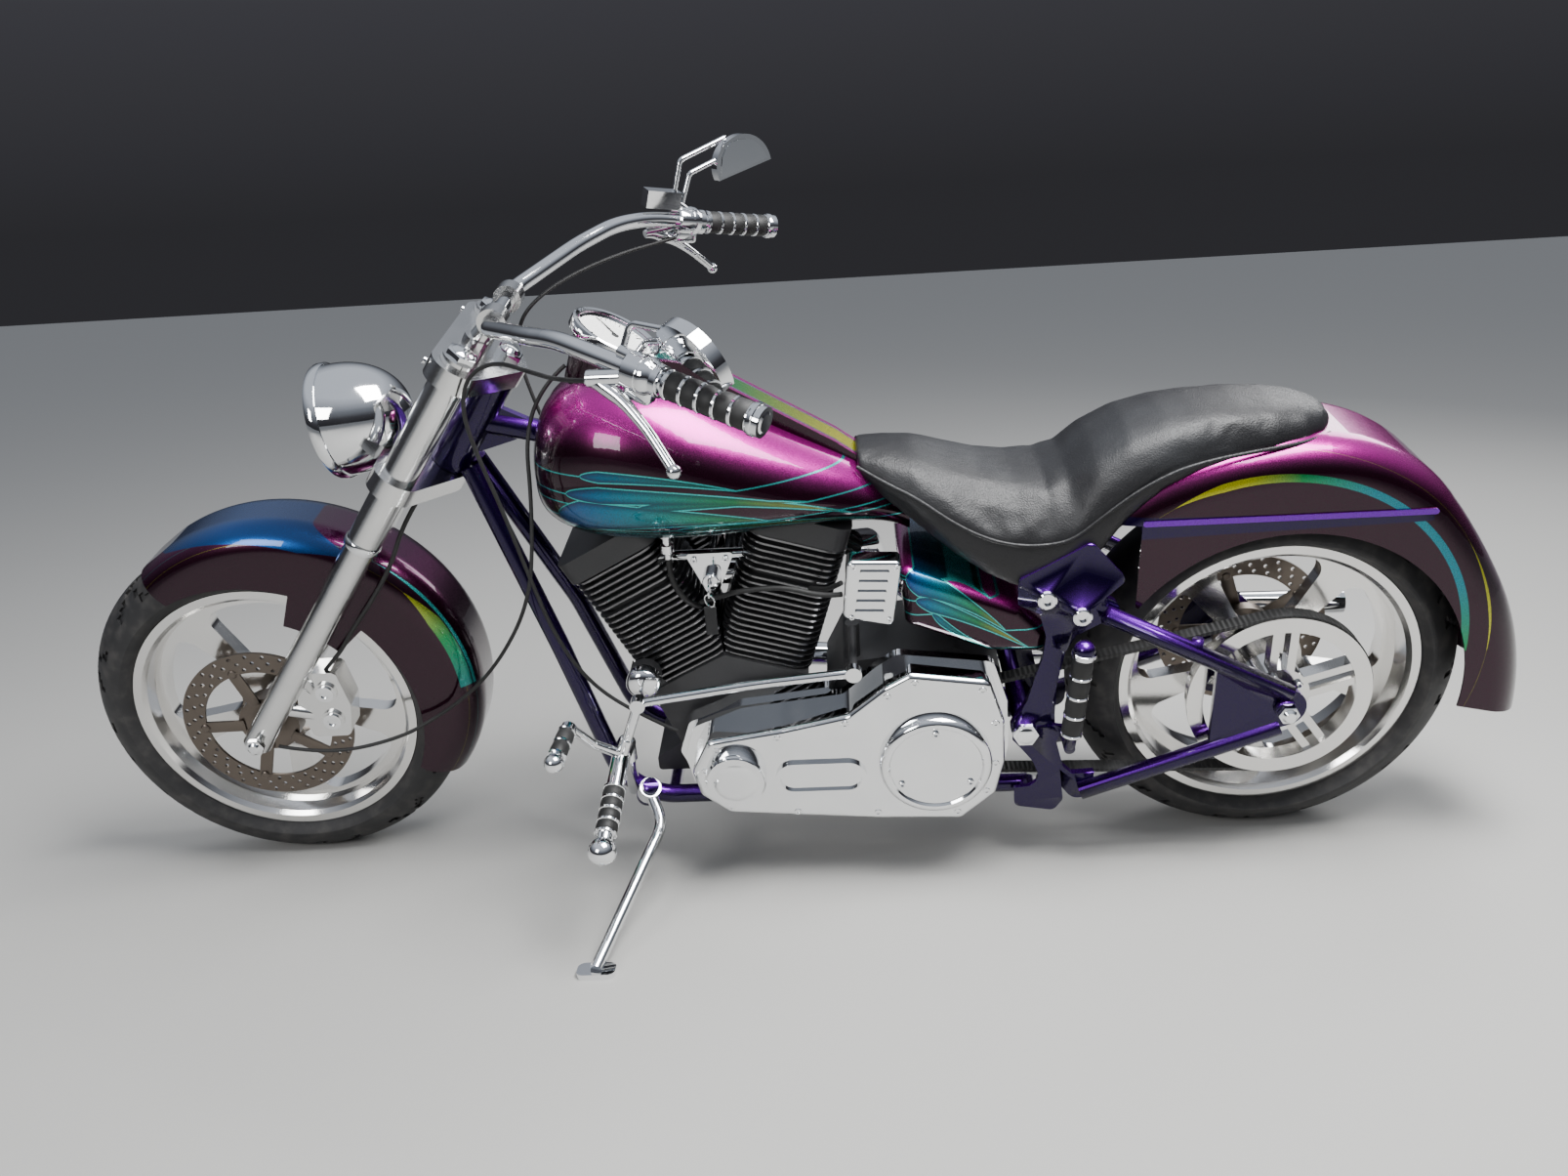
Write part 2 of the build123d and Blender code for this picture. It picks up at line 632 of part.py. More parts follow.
def control(side):
    """Lever perch with its lever, the mirror on its two stalk arms and, on the right, the fluid box."""
    end, along = grip_line(side)
    spot = end - along * (GRIP_LENGTH + PERCH_BACK)
    lever = [BAR_CLAMP + Vector(x, side * y, z) for x, y, z in LEVER]
    piece = hollow_rod(spot - along * 17, spot + along * 24, PERCH_R, BAR_R + SEAT_GAP)
    away = (lever[0] - spot).normalized()
    piece += rod(spot + away * 17, lever[0] + away * 6, 11)
    piece += pipe(lever, [30, 60], LEVER_R) + Pos(*lever[-1]) * Sphere(LEVER_R + 3)
    cable = [Vector(*point) for point in (CLUTCH_START if side > 0 else THROTTLE_START)[:2]]
    piece -= gland_bore(*cable, CABLE_R)
    thick, thin, centre, long_way, facing = MIRRORS[side]
    thick, thin = ([BAR_CLAMP + Vector(*point) for point in arm] for arm in (thick, thin))
    up = Vector(0, 0, 1)
    piece += rod(spot + up * 17, thick[0] + up * 8, 8)
    piece += rod(thick[0], thin[0], 6)
    for arm in (thick, thin):
        piece += pipe(arm, [14], 4.5)
    outline_edges = [
        Line((-58, -26), (56, -24)).edge(),
        ThreePointArc((56, -24), (36, 22), (-18, 34)).edge(),
        ThreePointArc((-18, 34), (-50, 14), (-58, -26)).edge(),
    ]
    head = make_face(Wire(outline_edges))
    plane = Plane(origin=BAR_CLAMP + Vector(*centre), x_dir=long_way, z_dir=facing)
    if (plane.y_dir).Z < 0:
        head = mirror(head, about=Plane.XZ)
    piece += extrude(plane * head, amount=MIRROR_THICK, both=True)
    if side < 0:
        level = along.cross(Vector(0, 1, 0)).cross(along)
        box_plane = Plane(origin=spot - along * 50 + up * 36, x_dir=along, z_dir=level)
        piece += box_plane.location * Box(64, 30, 24)
        piece += rod(spot + up * 15, spot - along * 30 + up * 34, 8)
    return piece - rod(spot - along * 60, spot + along * 60, BAR_R + SEAT_GAP)


def headlamp_pieces(lower_tree):
    """Bullet lamp with its domed glass, on a bracket from the lower tree."""
    nod = math.radians(LAMP_NOD)
    aim = Vector(math.cos(nod), 0, -math.sin(nod))
    rim_spot = Vector(LAMP_PLACE[0], 0, LAMP_PLACE[1])
    bowl = Bezier((LAMP_R, -14), (LAMP_R, -85), (48, -LAMP_DEPTH), (0, -LAMP_DEPTH))
    flat = Polyline((0, -LAMP_DEPTH), (0, 0), (LAMP_R, 0), (LAMP_R, -14))
    shell = spun(make_face(Wire([bowl.edge()] + flat.edges())), rim_spot, aim)
    lens_r = LAMP_R - 7
    ball_r = (lens_r**2 + LENS_RISE**2) / (2 * LENS_RISE)
    lens = Pos(0, LENS_RISE - ball_r, 0) * Sphere(ball_r)
    lens &= Pos(0, LENS_RISE / 2, 0) * Box(2 * lens_r + 10, LENS_RISE, 2 * lens_r + 10)
    lens_plane = Plane(origin=rim_spot + aim * SEAT_GAP, x_dir=(0, 1, 0), z_dir=Vector(0, 1, 0).cross(aim))
    bracket = rod(fork(LEG_OFFSET - 4, 0, LOWER_TREE_W - 20), rim_spot - aim * 60 - Vector(0, 0, 40), 14)
    return {
        "headlamp_shell": shell,
        "headlamp_lens": lens_plane.location * lens,
        "lower_tree": lower_tree + largest(bracket - shell - lower_tree),
    }


def front_fender():
    """Long front fender that hugs the tyre in front and stands off it behind, with a skirt behind each leg."""
    cx = FRONT_AXLE.X + FRONT_FENDER_CENTRE[0]
    cz = FRONT_AXLE.Z + FRONT_FENDER_CENTRE[1]
    centre = Vector(cx, 0, cz)
    outer = side_disc(centre, FRONT_FENDER_R, -FRONT_FENDER_HALF, FRONT_FENDER_HALF)
    outer = fillet(outer.edges(), FRONT_FENDER_ROUND)
    inner_half = FRONT_FENDER_HALF - FENDER_WALL
    inner = side_disc(centre, FRONT_FENDER_R - FENDER_WALL, -inner_half, inner_half)
    inner = fillet(inner.edges(), FRONT_FENDER_ROUND - FENDER_WALL)
    skirt = Polygon((0, 0), (-150, 392), (-317, 276), align=None) - Circle(FRONT_SKIRT_R)
    arch = at_wheel(FRONT_AXLE, Circle(FRONT_ARCH_R) - skirt, -200, 200)
    reach = [
        (cx + 210, cz + 240), (cx - 60, cz + 420), (cx - 420, cz + 200), (cx - 420, cz - 150), (cx - 245, cz - 188),
        (cx - 195, cz - 172), (cx + 20, cz + 20),
    ]
    kept = largest(((outer - inner) & slab(outline(reach, 0), -100, 100)) - arch)
    for side in (-1, 1):
        wall_y = side * (FRONT_FENDER_HALF - FENDER_WALL / 2)
        leg_y = side * (LEG_SPREAD - SLIDER_R - SEAT_GAP)
        kept += rod(fork(LEG_OFFSET, wall_y, FRONT_LUG_W), fork(LEG_OFFSET, leg_y, FRONT_LUG_W), 12)
    return kept


def front_caliper():
    """Four-piston brake caliper behind the left leg, over the disc, with two lugs to the leg."""
    spot = FRONT_AXLE + Vector(-112, 0, 48)
    face = outline([(-38, -62), (26, -62), (40, 0), (26, 66), (-38, 66), (-50, 0)], 12)
    body = Pos(spot.X, 0, spot.Z) * slab(face, FRONT_DISC_Y - 22, FRONT_DISC_Y + 26)
    for x, z in ((-14, -28), (-14, 28)):
        body += side_disc(spot + Vector(x, 0, z), 19, FRONT_DISC_Y + 25, FRONT_DISC_Y + 31)
    gap = DISC_THICK / 2 + 3
    slot = side_disc(FRONT_AXLE, DISC_R + 6, FRONT_DISC_Y - gap, FRONT_DISC_Y + gap)
    whole = body - slot
    for w, x, z in ((150, 10, 30), (70, 20, -20)):
        whole += rod(fork(LEG_OFFSET - 10, LEG_SPREAD, w), spot + Vector(x, FRONT_DISC_Y + 15, z), 12)
    leg = rod(fork(LEG_OFFSET, LEG_SPREAD, LEG_FOOT_W), fork(LEG_OFFSET, LEG_SPREAD, 300), SLIDER_R + SEAT_GAP)
    return whole - leg - gland_bore(Vector(*HOSE_ROUTE[-1]), Vector(*HOSE_ROUTE[-2]), HOSE_R)


def steering_pieces():
    """Everything that turns with the bars, but the front wheel."""
    pieces = fork_legs()
    pieces.update(handlebar_pieces())
    lower = fork_tree(LOWER_TREE_W - TREE_THICK)
    tyre_room = fork(LEG_OFFSET + 92, 0, LOWER_TREE_W - TREE_THICK - 5)
    lower -= rod(tyre_room, tyre_room + STEER_AXIS * (TREE_THICK + 10), 80)
    lower += rod(fork(0, 0, LOWER_TREE_W - 1), fork(0, 0, UPPER_TREE_W), STEM_R)
    pieces.update(headlamp_pieces(lower))
    pieces["front_fender"] = front_fender()
    pieces["front_caliper"] = front_caliper()
    pieces["brake_hose"] = cord(HOSE_ROUTE, HOSE_R)
    return pieces


def backbone_line():
    """Centre line of the frame's top tube, from the neck to the cross tube under the seat."""
    neck_mid = fork(0, 0, (LOWER_TREE_W + UPPER_TREE_W) / 2)
    return [neck_mid, (BACKBONE_KNEE[0], 0, BACKBONE_KNEE[1]), (POST_X, 0, POST_Z)]


def folded_peg(side):
    """Passenger peg folded up against the side plate, on its clevis."""
    points = [Vector(x, PEG_Y[side], z) for x, z in PEG_LINE]
    peg = rod(Vector(points[0].X, side * (PLATE_INNER + 1), points[0].Z), points[0] + Vector(0, side * 8, 0), 9)
    lug = hull([(*PEG_LINE[0], 14), (400, PEG_LINE[0][1], 24)])
    peg += slab(lug, *span(side, PLATE_INNER, PLATE_INNER + PLATE_THICK))
    peg += rod(points[0], points[1], 10)
    peg += rod(points[1], points[2], PEG_R) + Pos(*points[2]) * Sphere(PEG_R + 2)
    return peg


def frame_pieces():
    """Neck, backbone, rails, cross members and side plates with their pegs."""
    neck_low = fork(0, 0, LOWER_TREE_W + 1)
    neck_high = fork(0, 0, UPPER_TREE_W - 1)
    line = backbone_line()
    neck_mid = line[0]
    backbone = pipe(line, [BACKBONE_BEND], BACKBONE_R)
    gusset = [(-6, 40), (46, -66), (-120, -20)]
    backbone += slab(outline([(neck_mid.X + x, neck_mid.Z + z) for x, z in gusset], 6), -7, 7)
    backbone += rod((POST_X, -PLATE_INNER, POST_Z), (POST_X, PLATE_INNER, POST_Z), RAIL_R)
    backbone += rod(neck_low, neck_high, NECK_R)
    backbone -= rod(neck_low - STEER_AXIS, neck_high + STEER_AXIS, STEM_R + 2)
    pieces = {"frame_backbone": backbone}
    for side in (-1, 1):
        top = fork(-32, side * 22, LOWER_TREE_W + 22)
        points = [
            top,
            (RAIL_KNEE[0], side * RAIL_KNEE[1], RAIL_KNEE[2]),
            (RAIL_FRONT_X, side * RAIL_HALF, RAIL_Z),
            (PLATE_REACH, side * RAIL_HALF, RAIL_Z),
        ]
        rail = pipe(points, [300, 110], RAIL_R)
        rail += rod((PLATE_REACH, side * RAIL_HALF, RAIL_Z), (PLATE_REACH, side * PLATE_INNER, RAIL_Z), RAIL_R)
        plate = slab(outline(PLATE_OUTLINE, 12), *span(side, PLATE_INNER, PLATE_INNER + PLATE_THICK))
        piece = largest(rail - backbone) + plate
        for x, z, radius in PLATE_BOLTS:
            piece += side_disc(Vector(x, 0, z), radius, *span(side, PLATE_INNER + 4, PLATE_INNER + PLATE_THICK + 9))
        pieces["frame_rail_" + SIDE_NAME[side]] = piece + folded_peg(side)
    bars = [rod((x, -RAIL_HALF, RAIL_Z), (x, RAIL_HALF, RAIL_Z), CROSS_R) for x in CROSS_MEMBERS.values()]
    pieces["frame_rail_left"] += [bar - pieces["frame_rail_right"] for bar in bars]
    pieces["frame_rail_left"] += stand_bracket()
    return pieces


def swing_arm_pieces():
    """Triangular swing arm: head plate, two tubes and an axle plate each side, pivot tube and rear axle."""
    pieces = {}
    axle_z = REAR_AXLE.Z
    for side in (-1, 1):
        y = side * ARM_Y
        head = span(side, ARM_HEAD_Y, PLATE_INNER - SEAT_GAP)
        arm = slab(hull([(*ARM_UPPER, 22), (PIVOT_X, PIVOT_Z, 22), (*ARM_LOWER, 22)]), *head)
        arm -= slab(hull([(ARM_UPPER[0] + 28, 440, 14), (345, 330, 14)]), head[0] - 1, head[1] + 1)
        arm += rod((ARM_UPPER[0], y, ARM_UPPER[1]), (-6, y, axle_z + 24), ARM_R)
        arm += rod((ARM_LOWER[0], y, ARM_LOWER[1]), (4, y, axle_z - 38), ARM_R)
        corners = [(AXLE_PLATE_X, 74), (AXLE_PLATE_X - 16, 6), (AXLE_PLATE_X, -60)]
        plate = hull([(0, axle_z, 34)] + [(x, axle_z + z, 10) for x, z in corners])
        arm += slab(plate, *span(side, ARM_Y - 6, ARM_Y + 6))
        arm += rod((147, y, 420), (147, y, 456), 9)
        arm -= side_disc(REAR_AXLE, AXLE_R + SEAT_GAP, *span(side, ARM_Y - 30, ARM_Y + 30))
        arm -= side_disc(REAR_AXLE, 18, *span(side, ARM_Y + 6, 200))
        arm -= side_disc(REAR_AXLE, 17, *span(side, 100, ARM_Y - 6))
        pieces["swing_arm_" + SIDE_NAME[side]] = arm
    axle = rod((0, -AXLE_END, axle_z), (0, AXLE_END, axle_z), AXLE_R)
    axle += side_disc(REAR_AXLE, 17, -AXLE_END, -ARM_Y - 6)
    axle += side_disc(REAR_AXLE, 17, ARM_Y + 6 + SEAT_GAP, AXLE_END)
    axle += side_disc(REAR_AXLE, SPACER_R, BELT_INNER_Y + 3, ARM_Y - 6 - SEAT_GAP)
    axle += side_disc(REAR_AXLE, SPACER_R, -ARM_Y + 6, -REAR_RIM_HALF - 30)
    pivot = rod((PIVOT_X, -ARM_HEAD_Y - 7, PIVOT_Z), (PIVOT_X, ARM_HEAD_Y - SEAT_GAP, PIVOT_Z), RAIL_R)
    pieces["swing_arm_right"] += pivot + axle
    return pieces


def arc_chain(points, direction):
    """Edges of arcs through the points, each tangent to the one before, the first leaving in a direction."""
    edges = []
    for start, end in zip(points, points[1:]):
        arc = TangentArc(start, end, tangent=direction)
        direction = arc % 1
        edges.append(arc.edge())
    return edges


def fender_block(wall):
    """Solid under the rear fender's crown, its long edges rounded; the wall is taken off all round."""
    tail = REAR_FENDER_CROWN[0]
    front = REAR_FENDER_CROWN[-1]
    half = REAR_FENDER_HALF - wall
    ends = [Line(front, (front[0], 150)), Line((front[0], 150), (tail[0], 150)), Line((tail[0], 150), tail)]
    face = make_face(Wire(arc_chain(REAR_FENDER_CROWN, (0, 1)) + [e.edge() for e in ends]))
    if wall:
        face = offset(face, -wall)
    block = slab(face, -half, half)
    rims = [
        e
        for e in block.edges()
        if abs(abs(e.center().Y) - half) < 1 and e.center().Z > 200 and abs(e.center().X - front[0]) > wall + 1
    ]
    return fillet(rims, REAR_FENDER_ROUND - wall)


def rear_fender():
    """Deep rear fender: a rounded crown well off the tyre, flat skirts cut round the wheel, a strut on each."""
    shell = fender_block(0) - fender_block(FENDER_WALL)
    shell -= side_disc(REAR_AXLE, REAR_ARCH_R, -200, 200)
    shell = largest(shell - slab(Polygon(*REAR_FENDER_TRIM, align=None), -200, 200))
    strut = Pos(sum(STRUT_LINE) / 2, STRUT_Z) * SlotOverall(STRUT_LINE[1] - STRUT_LINE[0], 9)
    for side in (-1, 1):
        shell += slab(strut, *span(side, REAR_FENDER_HALF - 2, REAR_FENDER_HALF + 3))
    return shell


def tank_section(x, half, top, side, bottom):
    """One section across the fuel tank, from its flat bottom over round flanks to the crest."""
    plane = Plane(origin=(x, 0, 0), x_dir=(0, 1, 0), z_dir=(1, 0, 0))
    shoulder = (half * 0.74, side + (top - side) * 0.74)
    hip = (half * 0.86, side - (side - bottom) * 0.72)
    wire = Wire(
        [
            Line((-half * 0.5, bottom), (half * 0.5, bottom)).edge(),
            ThreePointArc((half * 0.5, bottom), hip, (half, side)).edge(),
            ThreePointArc((half, side), shoulder, (half * 0.16, top)).edge(),
            Line((half * 0.16, top), (-half * 0.16, top)).edge(),
            ThreePointArc((-half * 0.16, top), (-shoulder[0], shoulder[1]), (-half, side)).edge(),
            ThreePointArc((-half, side), (-hip[0], hip[1]), (-half * 0.5, bottom)).edge(),
        ]
    )
    return plane * make_face(wire)


def fuel_tank():
    """Teardrop tank with a tunnel for the frame's top tube and pockets over the rocker boxes."""
    tank = loft([tank_section(*row) for row in TANK_STATIONS])
    neck_mid = backbone_line()[0]
    knee_x, knee_z = BACKBONE_KNEE
    roof = [(neck_mid.X, neck_mid.Z + TUNNEL_HALF), (knee_x, knee_z + TUNNEL_HALF), (540, 615 + TUNNEL_HALF)]
    floor = [(540, 615 - TUNNEL_DEPTH), (neck_mid.X, neck_mid.Z - TUNNEL_DEPTH)]
    tank -= slab(Polygon(*roof, *floor, align=None), -TUNNEL_HALF, TUNNEL_HALF)
    pocket = Rectangle(2 * (ROCKER_HALF + ROCKER_CLEAR), 2 * (ROCKER_SIDE + ROCKER_CLEAR))
    for tilt in CYLINDERS.values():
        low = cylinder_plane(tilt, ROCKER_BASE - 40)
        tank -= extrude(low * pocket, amount=ROCKER_HEIGHT + 40 + ROCKER_CLEAR)
    return largest(tank)


def dash_console(tank):
    """Long console on the tank's crest, with the round speedometer in a tapered cup at its front."""
    strip = slab(Polygon(*DASH_LINE, align=None), -DASH_HALF, DASH_HALF)
    nod = math.radians(GAUGE_NOD)
    cup = make_face(Polyline(*GAUGE_PROFILE, close=True))
    cup = spun(cup, (GAUGE_PLACE[0], 0, GAUGE_PLACE[1]), (-math.sin(nod), 0, math.cos(nod)))
    return largest(strip + cup - tank)


def seat_section(x, half, top, side, bottom):
    """One section across the seat: dished bottom left flat, round edges."""
    plane = Plane(origin=(x, 0, 0), x_dir=(0, 1, 0), z_dir=(1, 0, 0))
    shoulder_z = side + (top - side) * 0.8
    wire = Wire(
        [
            Line((-half * 0.8, bottom), (half * 0.8, bottom)).edge(),
            ThreePointArc((half * 0.8, bottom), (half * 0.96, (bottom + side) / 2), (half, side)).edge(),
            ThreePointArc((half, side), (half * 0.72, shoulder_z), (0, top)).edge(),
            ThreePointArc((0, top), (-half * 0.72, shoulder_z), (-half, side)).edge(),
            ThreePointArc((-half, side), (-half * 0.96, (bottom + side) / 2), (-half * 0.8, bottom)).edge(),
        ]
    )
    return plane * make_face(wire)


def seat(*neighbours):
    """Stepped seat: a low rider's part and a raised pillion behind it, cut to what it sits on."""
    rider = loft([seat_section(*row) for row in SEAT_STATIONS])
    pillion = loft([seat_section(*row) for row in SEAT_STATIONS[-1:] + PILLION_STATIONS])
    whole = rider + pillion
    for other in neighbours:
        whole -= other
    return largest(whole - pipe(backbone_line(), [BACKBONE_BEND], BACKBONE_R + 1))


def oil_tank():
    """Painted oil tank under the seat, cut round the frame's tubes."""
    half = PLATE_INNER - SEAT_GAP
    block = slab(outline(OIL_TANK, 14), -half, half)
    block = fillet(block.edges().filter_by(lambda e: abs(abs(e.center().Y) - half) < 0.5), OIL_TANK_ROUND)
    clear = rod((POST_X, -PLATE_Y, POST_Z), (POST_X, PLATE_Y, POST_Z), RAIL_R + SEAT_GAP)
    clear += pipe(backbone_line(), [BACKBONE_BEND], BACKBONE_R + SEAT_GAP)
    return largest(block - clear)


CYLINDERS = {"front": VEE_TILT + VEE / 2, "rear": VEE_TILT - VEE / 2}


def cylinder_plane(tilt, reach):
    """Plane square to a cylinder's axis at a distance from the crankshaft; its x is fore and aft."""
    a = math.radians(tilt)
    axis = Vector(math.sin(a), 0, math.cos(a))
    foot = Vector(CRANK_X, 0, CRANK_Z)
    return Plane(origin=foot + axis * reach, x_dir=(math.cos(a), 0, -math.sin(a)), z_dir=axis)


def vee_point(tilt, along, across):
    """Side-view point at a distance along a cylinder's axis from the crankshaft and across it."""
    spot = cylinder_plane(tilt, along).from_local_coords((across, 0, 0))
    return (spot.X, spot.Z)


def finned(tilt, shift, start, height):
    """Finned block of an air-cooled cylinder or head."""
    core = RectangleRounded(2 * (FIN_HALF - FIN_DEPTH), 2 * (FIN_SIDE - FIN_DEPTH), 26)
    body = extrude(cylinder_plane(tilt, start) * Pos(shift, 0) * core, amount=height)
    count = int((height - FIN_THICK - 4) / FIN_PITCH) + 1
    fin = RectangleRounded(2 * FIN_HALF, 2 * FIN_SIDE, 34)
    for i in range(count):
        plane = cylinder_plane(tilt, start + 2 + i * FIN_PITCH)
        body += extrude(plane * Pos(shift, 0) * fin, amount=FIN_THICK)
    return body


def cylinder_pieces():
    """Both cylinders with head and rocker box, cut where they meet in the vee."""
    pieces = {}
    for name, tilt in CYLINDERS.items():
        outward = 1 if tilt > VEE_TILT else -1
        block = finned(tilt, outward * FIN_SHIFT, CYLINDER_BASE + SEAT_GAP, BARREL_HEIGHT - SEAT_GAP)
        block += finned(tilt, outward * FIN_SHIFT, HEAD_BASE, HEAD_HEIGHT)
        box = RectangleRounded(2 * ROCKER_HALF, 2 * ROCKER_SIDE, 24)
        block += extrude(cylinder_plane(tilt, ROCKER_BASE) * box, amount=ROCKER_HEIGHT)
        beyond = Pos(-outward * (200 - VEE_GAP), 0) * Rectangle(400, 400)
        block -= extrude(cylinder_plane(VEE_TILT, 100) * beyond, amount=400)
        for line in (FRONT_PIPE, REAR_PIPE):
            block -= pipe(line[:3], PIPE_BENDS[:1], EXHAUST_R + SEAT_GAP)
        pieces["cylinder_" + name] = largest(block)
    return pieces


def crankcase():
    """Crankcase with its vee-shaped deck, cam cover and pushrod tubes on the right, and the breather dome."""
    front = vee_point(CYLINDERS["front"], CYLINDER_BASE, FIN_HALF)
    rear = vee_point(CYLINDERS["rear"], CYLINDER_BASE, -FIN_HALF)
    peak = vee_point(VEE_TILT, CYLINDER_BASE / math.cos(math.radians(VEE / 2)), 0)
    deck = [Line(front, peak).edge(), Line(peak, rear).edge()]
    case = slab(make_hull([Pos(CRANK_X, CRANK_Z) * Circle(CRANK_CASE_R).edge()] + deck), -CASE_HALF, CASE_HALF)
    case += slab(outline([(1040, 172), (1040, 200), (960, 250), (800, 250), (740, 200), (740, 172)], 6), -60, 60)
    case += rod((CRANK_X, CASE_HALF, CRANK_Z), (CRANK_X, PRIMARY_BULGE_Y - SEAT_GAP, CRANK_Z), 62)
    cam = hull([(CRANK_X - 30, CRANK_Z - 10, 58), (CRANK_X + 62, CRANK_Z + 30, 44), (CRANK_X, CRANK_Z + 68, 30)])
    case += slab(cam, -CASE_HALF - 34, -CASE_HALF)
    for tilt in CYLINDERS.values():
        for across in (-14, 14):
            foot = vee_point(tilt, 96, across)
            top = vee_point(tilt, ROCKER_BASE - SEAT_GAP, across)
            case += rod((foot[0], PUSHROD_Y, foot[1]), (top[0], PUSHROD_Y, top[1]), PUSHROD_R)
    dome = side_disc(Vector(DOME[0], 0, DOME[1]), DOME_R, 56, 118)
    dome += rod((996, 66, 346), (DOME[0], 66, DOME[1]), 15)
    room = Pos(FIN_SHIFT, 0) * Rectangle(2 * (FIN_HALF + SEAT_GAP), 2 * (FIN_SIDE + SEAT_GAP))
    case += dome - extrude(cylinder_plane(CYLINDERS["front"], CYLINDER_BASE) * room, amount=BARREL_HEIGHT)
    for x in CROSS_MEMBERS.values():
        case -= rod((x, -200, RAIL_Z), (x, 200, RAIL_Z), CROSS_R + SEAT_GAP)
    return largest(case)


def primary_case():
    """Primary drive: bulge against the engine, back case and polished outer cover with its three covers."""
    case = slab(outline(PRIMARY_OUTER, 18), PRIMARY_JOINT_Y - 1, PRIMARY_FACE_Y)
    rims = case.edges().filter_by(lambda e: abs(e.center().Y - PRIMARY_FACE_Y) < 0.5)
    case = fillet(rims, 10)
    case += slab(outline(PRIMARY_INNER, 18), PRIMARY_BACK_Y, PRIMARY_JOINT_Y)
    case += slab(outline(PRIMARY_BULGE, 14), PRIMARY_BULGE_Y, PRIMARY_BACK_Y + 1)
    clutch = Vector(CLUTCH_X, 0, CLUTCH_Z)
    case += side_disc(clutch, DERBY_R, PRIMARY_FACE_Y - 1, PRIMARY_FACE_Y + 8)
    case += side_disc(clutch, DERBY_LIP, PRIMARY_FACE_Y, PRIMARY_FACE_Y + 14)
    crank = Vector(CRANK_X, 0, CRANK_Z)
    case += side_disc(crank, ENGINE_CAP_R, PRIMARY_FACE_Y - 1, PRIMARY_FACE_Y + 22)
    x, z, length, height = INSPECTION
    case += slab(Pos(x, z) * SlotOverall(length, height), PRIMARY_FACE_Y - 1, PRIMARY_FACE_Y + 7)
    case -= slab(Pos(x, z) * SlotOverall(length - 16, height - 16), PRIMARY_FACE_Y + 2, PRIMARY_FACE_Y + 8)
    return case


def gearbox_pieces():
    """Gearbox behind the engine, its drive pulley and the belt to the rear wheel."""
    box = slab(outline([(445, 200), (445, 380), (520, 420), (700, 400), (735, 330), (735, 200)], 18), -92, 92)
    back = PRIMARY_BACK_Y - SEAT_GAP
    box += rod((690, 92, 250), (690, back, 250), 26)
    box += rod((CLUTCH_X, 92, CLUTCH_Z), (CLUTCH_X, back, CLUTCH_Z), 30)
    box += rod((CLUTCH_X, BELT_INNER_Y, CLUTCH_Z), (CLUTCH_X, BELT_OUTER_Y, CLUTCH_Z), DRIVE_PULLEY_R)
    box += slab(outline([(460, 158), (460, 210), (720, 210), (720, 158)], 4), -80, 80)
    shaft = SHIFT_ROD[-1]
    box += rod((shaft[0], 70, shaft[2]), (shaft[0], shaft[1] - 7 - SEAT_GAP, shaft[2]), 6)
    box += rod((shaft[0], 70, shaft[2] + 6), (shaft[0], 70, 380), 12)
    for x in CROSS_MEMBERS.values():
        box -= rod((x, -200, RAIL_Z), (x, 200, RAIL_Z), CROSS_R + SEAT_GAP)
    wheels = [(0, REAR_AXLE.Z, PULLEY_LAND_R + SEAT_GAP), (CLUTCH_X, CLUTCH_Z, DRIVE_PULLEY_R + SEAT_GAP)]
    loop = hull([(x, z, r + BELT_THICK) for x, z, r in wheels]) - hull(wheels)
    return {"gearbox": box, "drive_belt": slab(loop, BELT_INNER_Y, BELT_OUTER_Y - SEAT_GAP)}


def exhaust_pipes():
    """Two pipes along the right side, open at their tips, with a strap between them."""
    whole = pipe(FRONT_PIPE, PIPE_BENDS, EXHAUST_R) + pipe(REAR_PIPE, PIPE_BENDS, EXHAUST_R)
    whole += slab(outline([(380, 236), (420, 236), (420, 322), (380, 322)], 0), EXHAUST_Y - 3, EXHAUST_Y + 3)
    for line in (FRONT_PIPE, REAR_PIPE):
        tip, inward = exhaust_tip(line)
        whole -= rod(tip - inward, tip + inward * EXHAUST_OPEN, EXHAUST_BORE)
    return whole


def exhaust_tip(line):
    """Open end of a pipe and the direction into it."""
    tip = Vector(*line[-1])
    return tip, (Vector(*line[-2]) - tip).normalized()


def air_cleaner(cylinders):
    """Round air cleaner, its inlet tube and the manifold between the heads."""
    cleaner = rod((MANIFOLD_X, -196, 536), (MANIFOLD_X, -152, 536), CLEANER_R)
    cleaner += rod((MANIFOLD_X, -153, MANIFOLD_Z), (MANIFOLD_X, -20, MANIFOLD_Z), 22)
    cleaner += rod((MANIFOLD_X - 80, -20, MANIFOLD_Z), (MANIFOLD_X + 80, -20, MANIFOLD_Z), 20)
    for block in cylinders:
        cleaner -= block
    return largest(cleaner)


def coil_cover(neighbour):
    """Louvred box over the coil, on a stub from the oil tank."""
    low, high = COIL_COVER_Y
    box = slab(outline(COIL_COVER, 10), low, high)
    box = fillet(box.edges().filter_by(lambda e: abs(e.center().Y - high) < 0.5), 6)
    top = Vector(648, 0, 612)
    step = Vector(2.6, 0, -17)
    for i in range(LOUVRE_COUNT):
        spot = top + step * i
        louvre = Pos(spot.X, spot.Z) * Rot(0, 0, 3) * SlotOverall(LOUVRE_SIZE[0], LOUVRE_SIZE[1])
        box += slab(louvre, high - 1, high + LOUVRE_RISE)
    stub = rod((648, low + 2, 566), (596, 112, 548), 7)
    return largest(box + largest(stub - box) - neighbour)


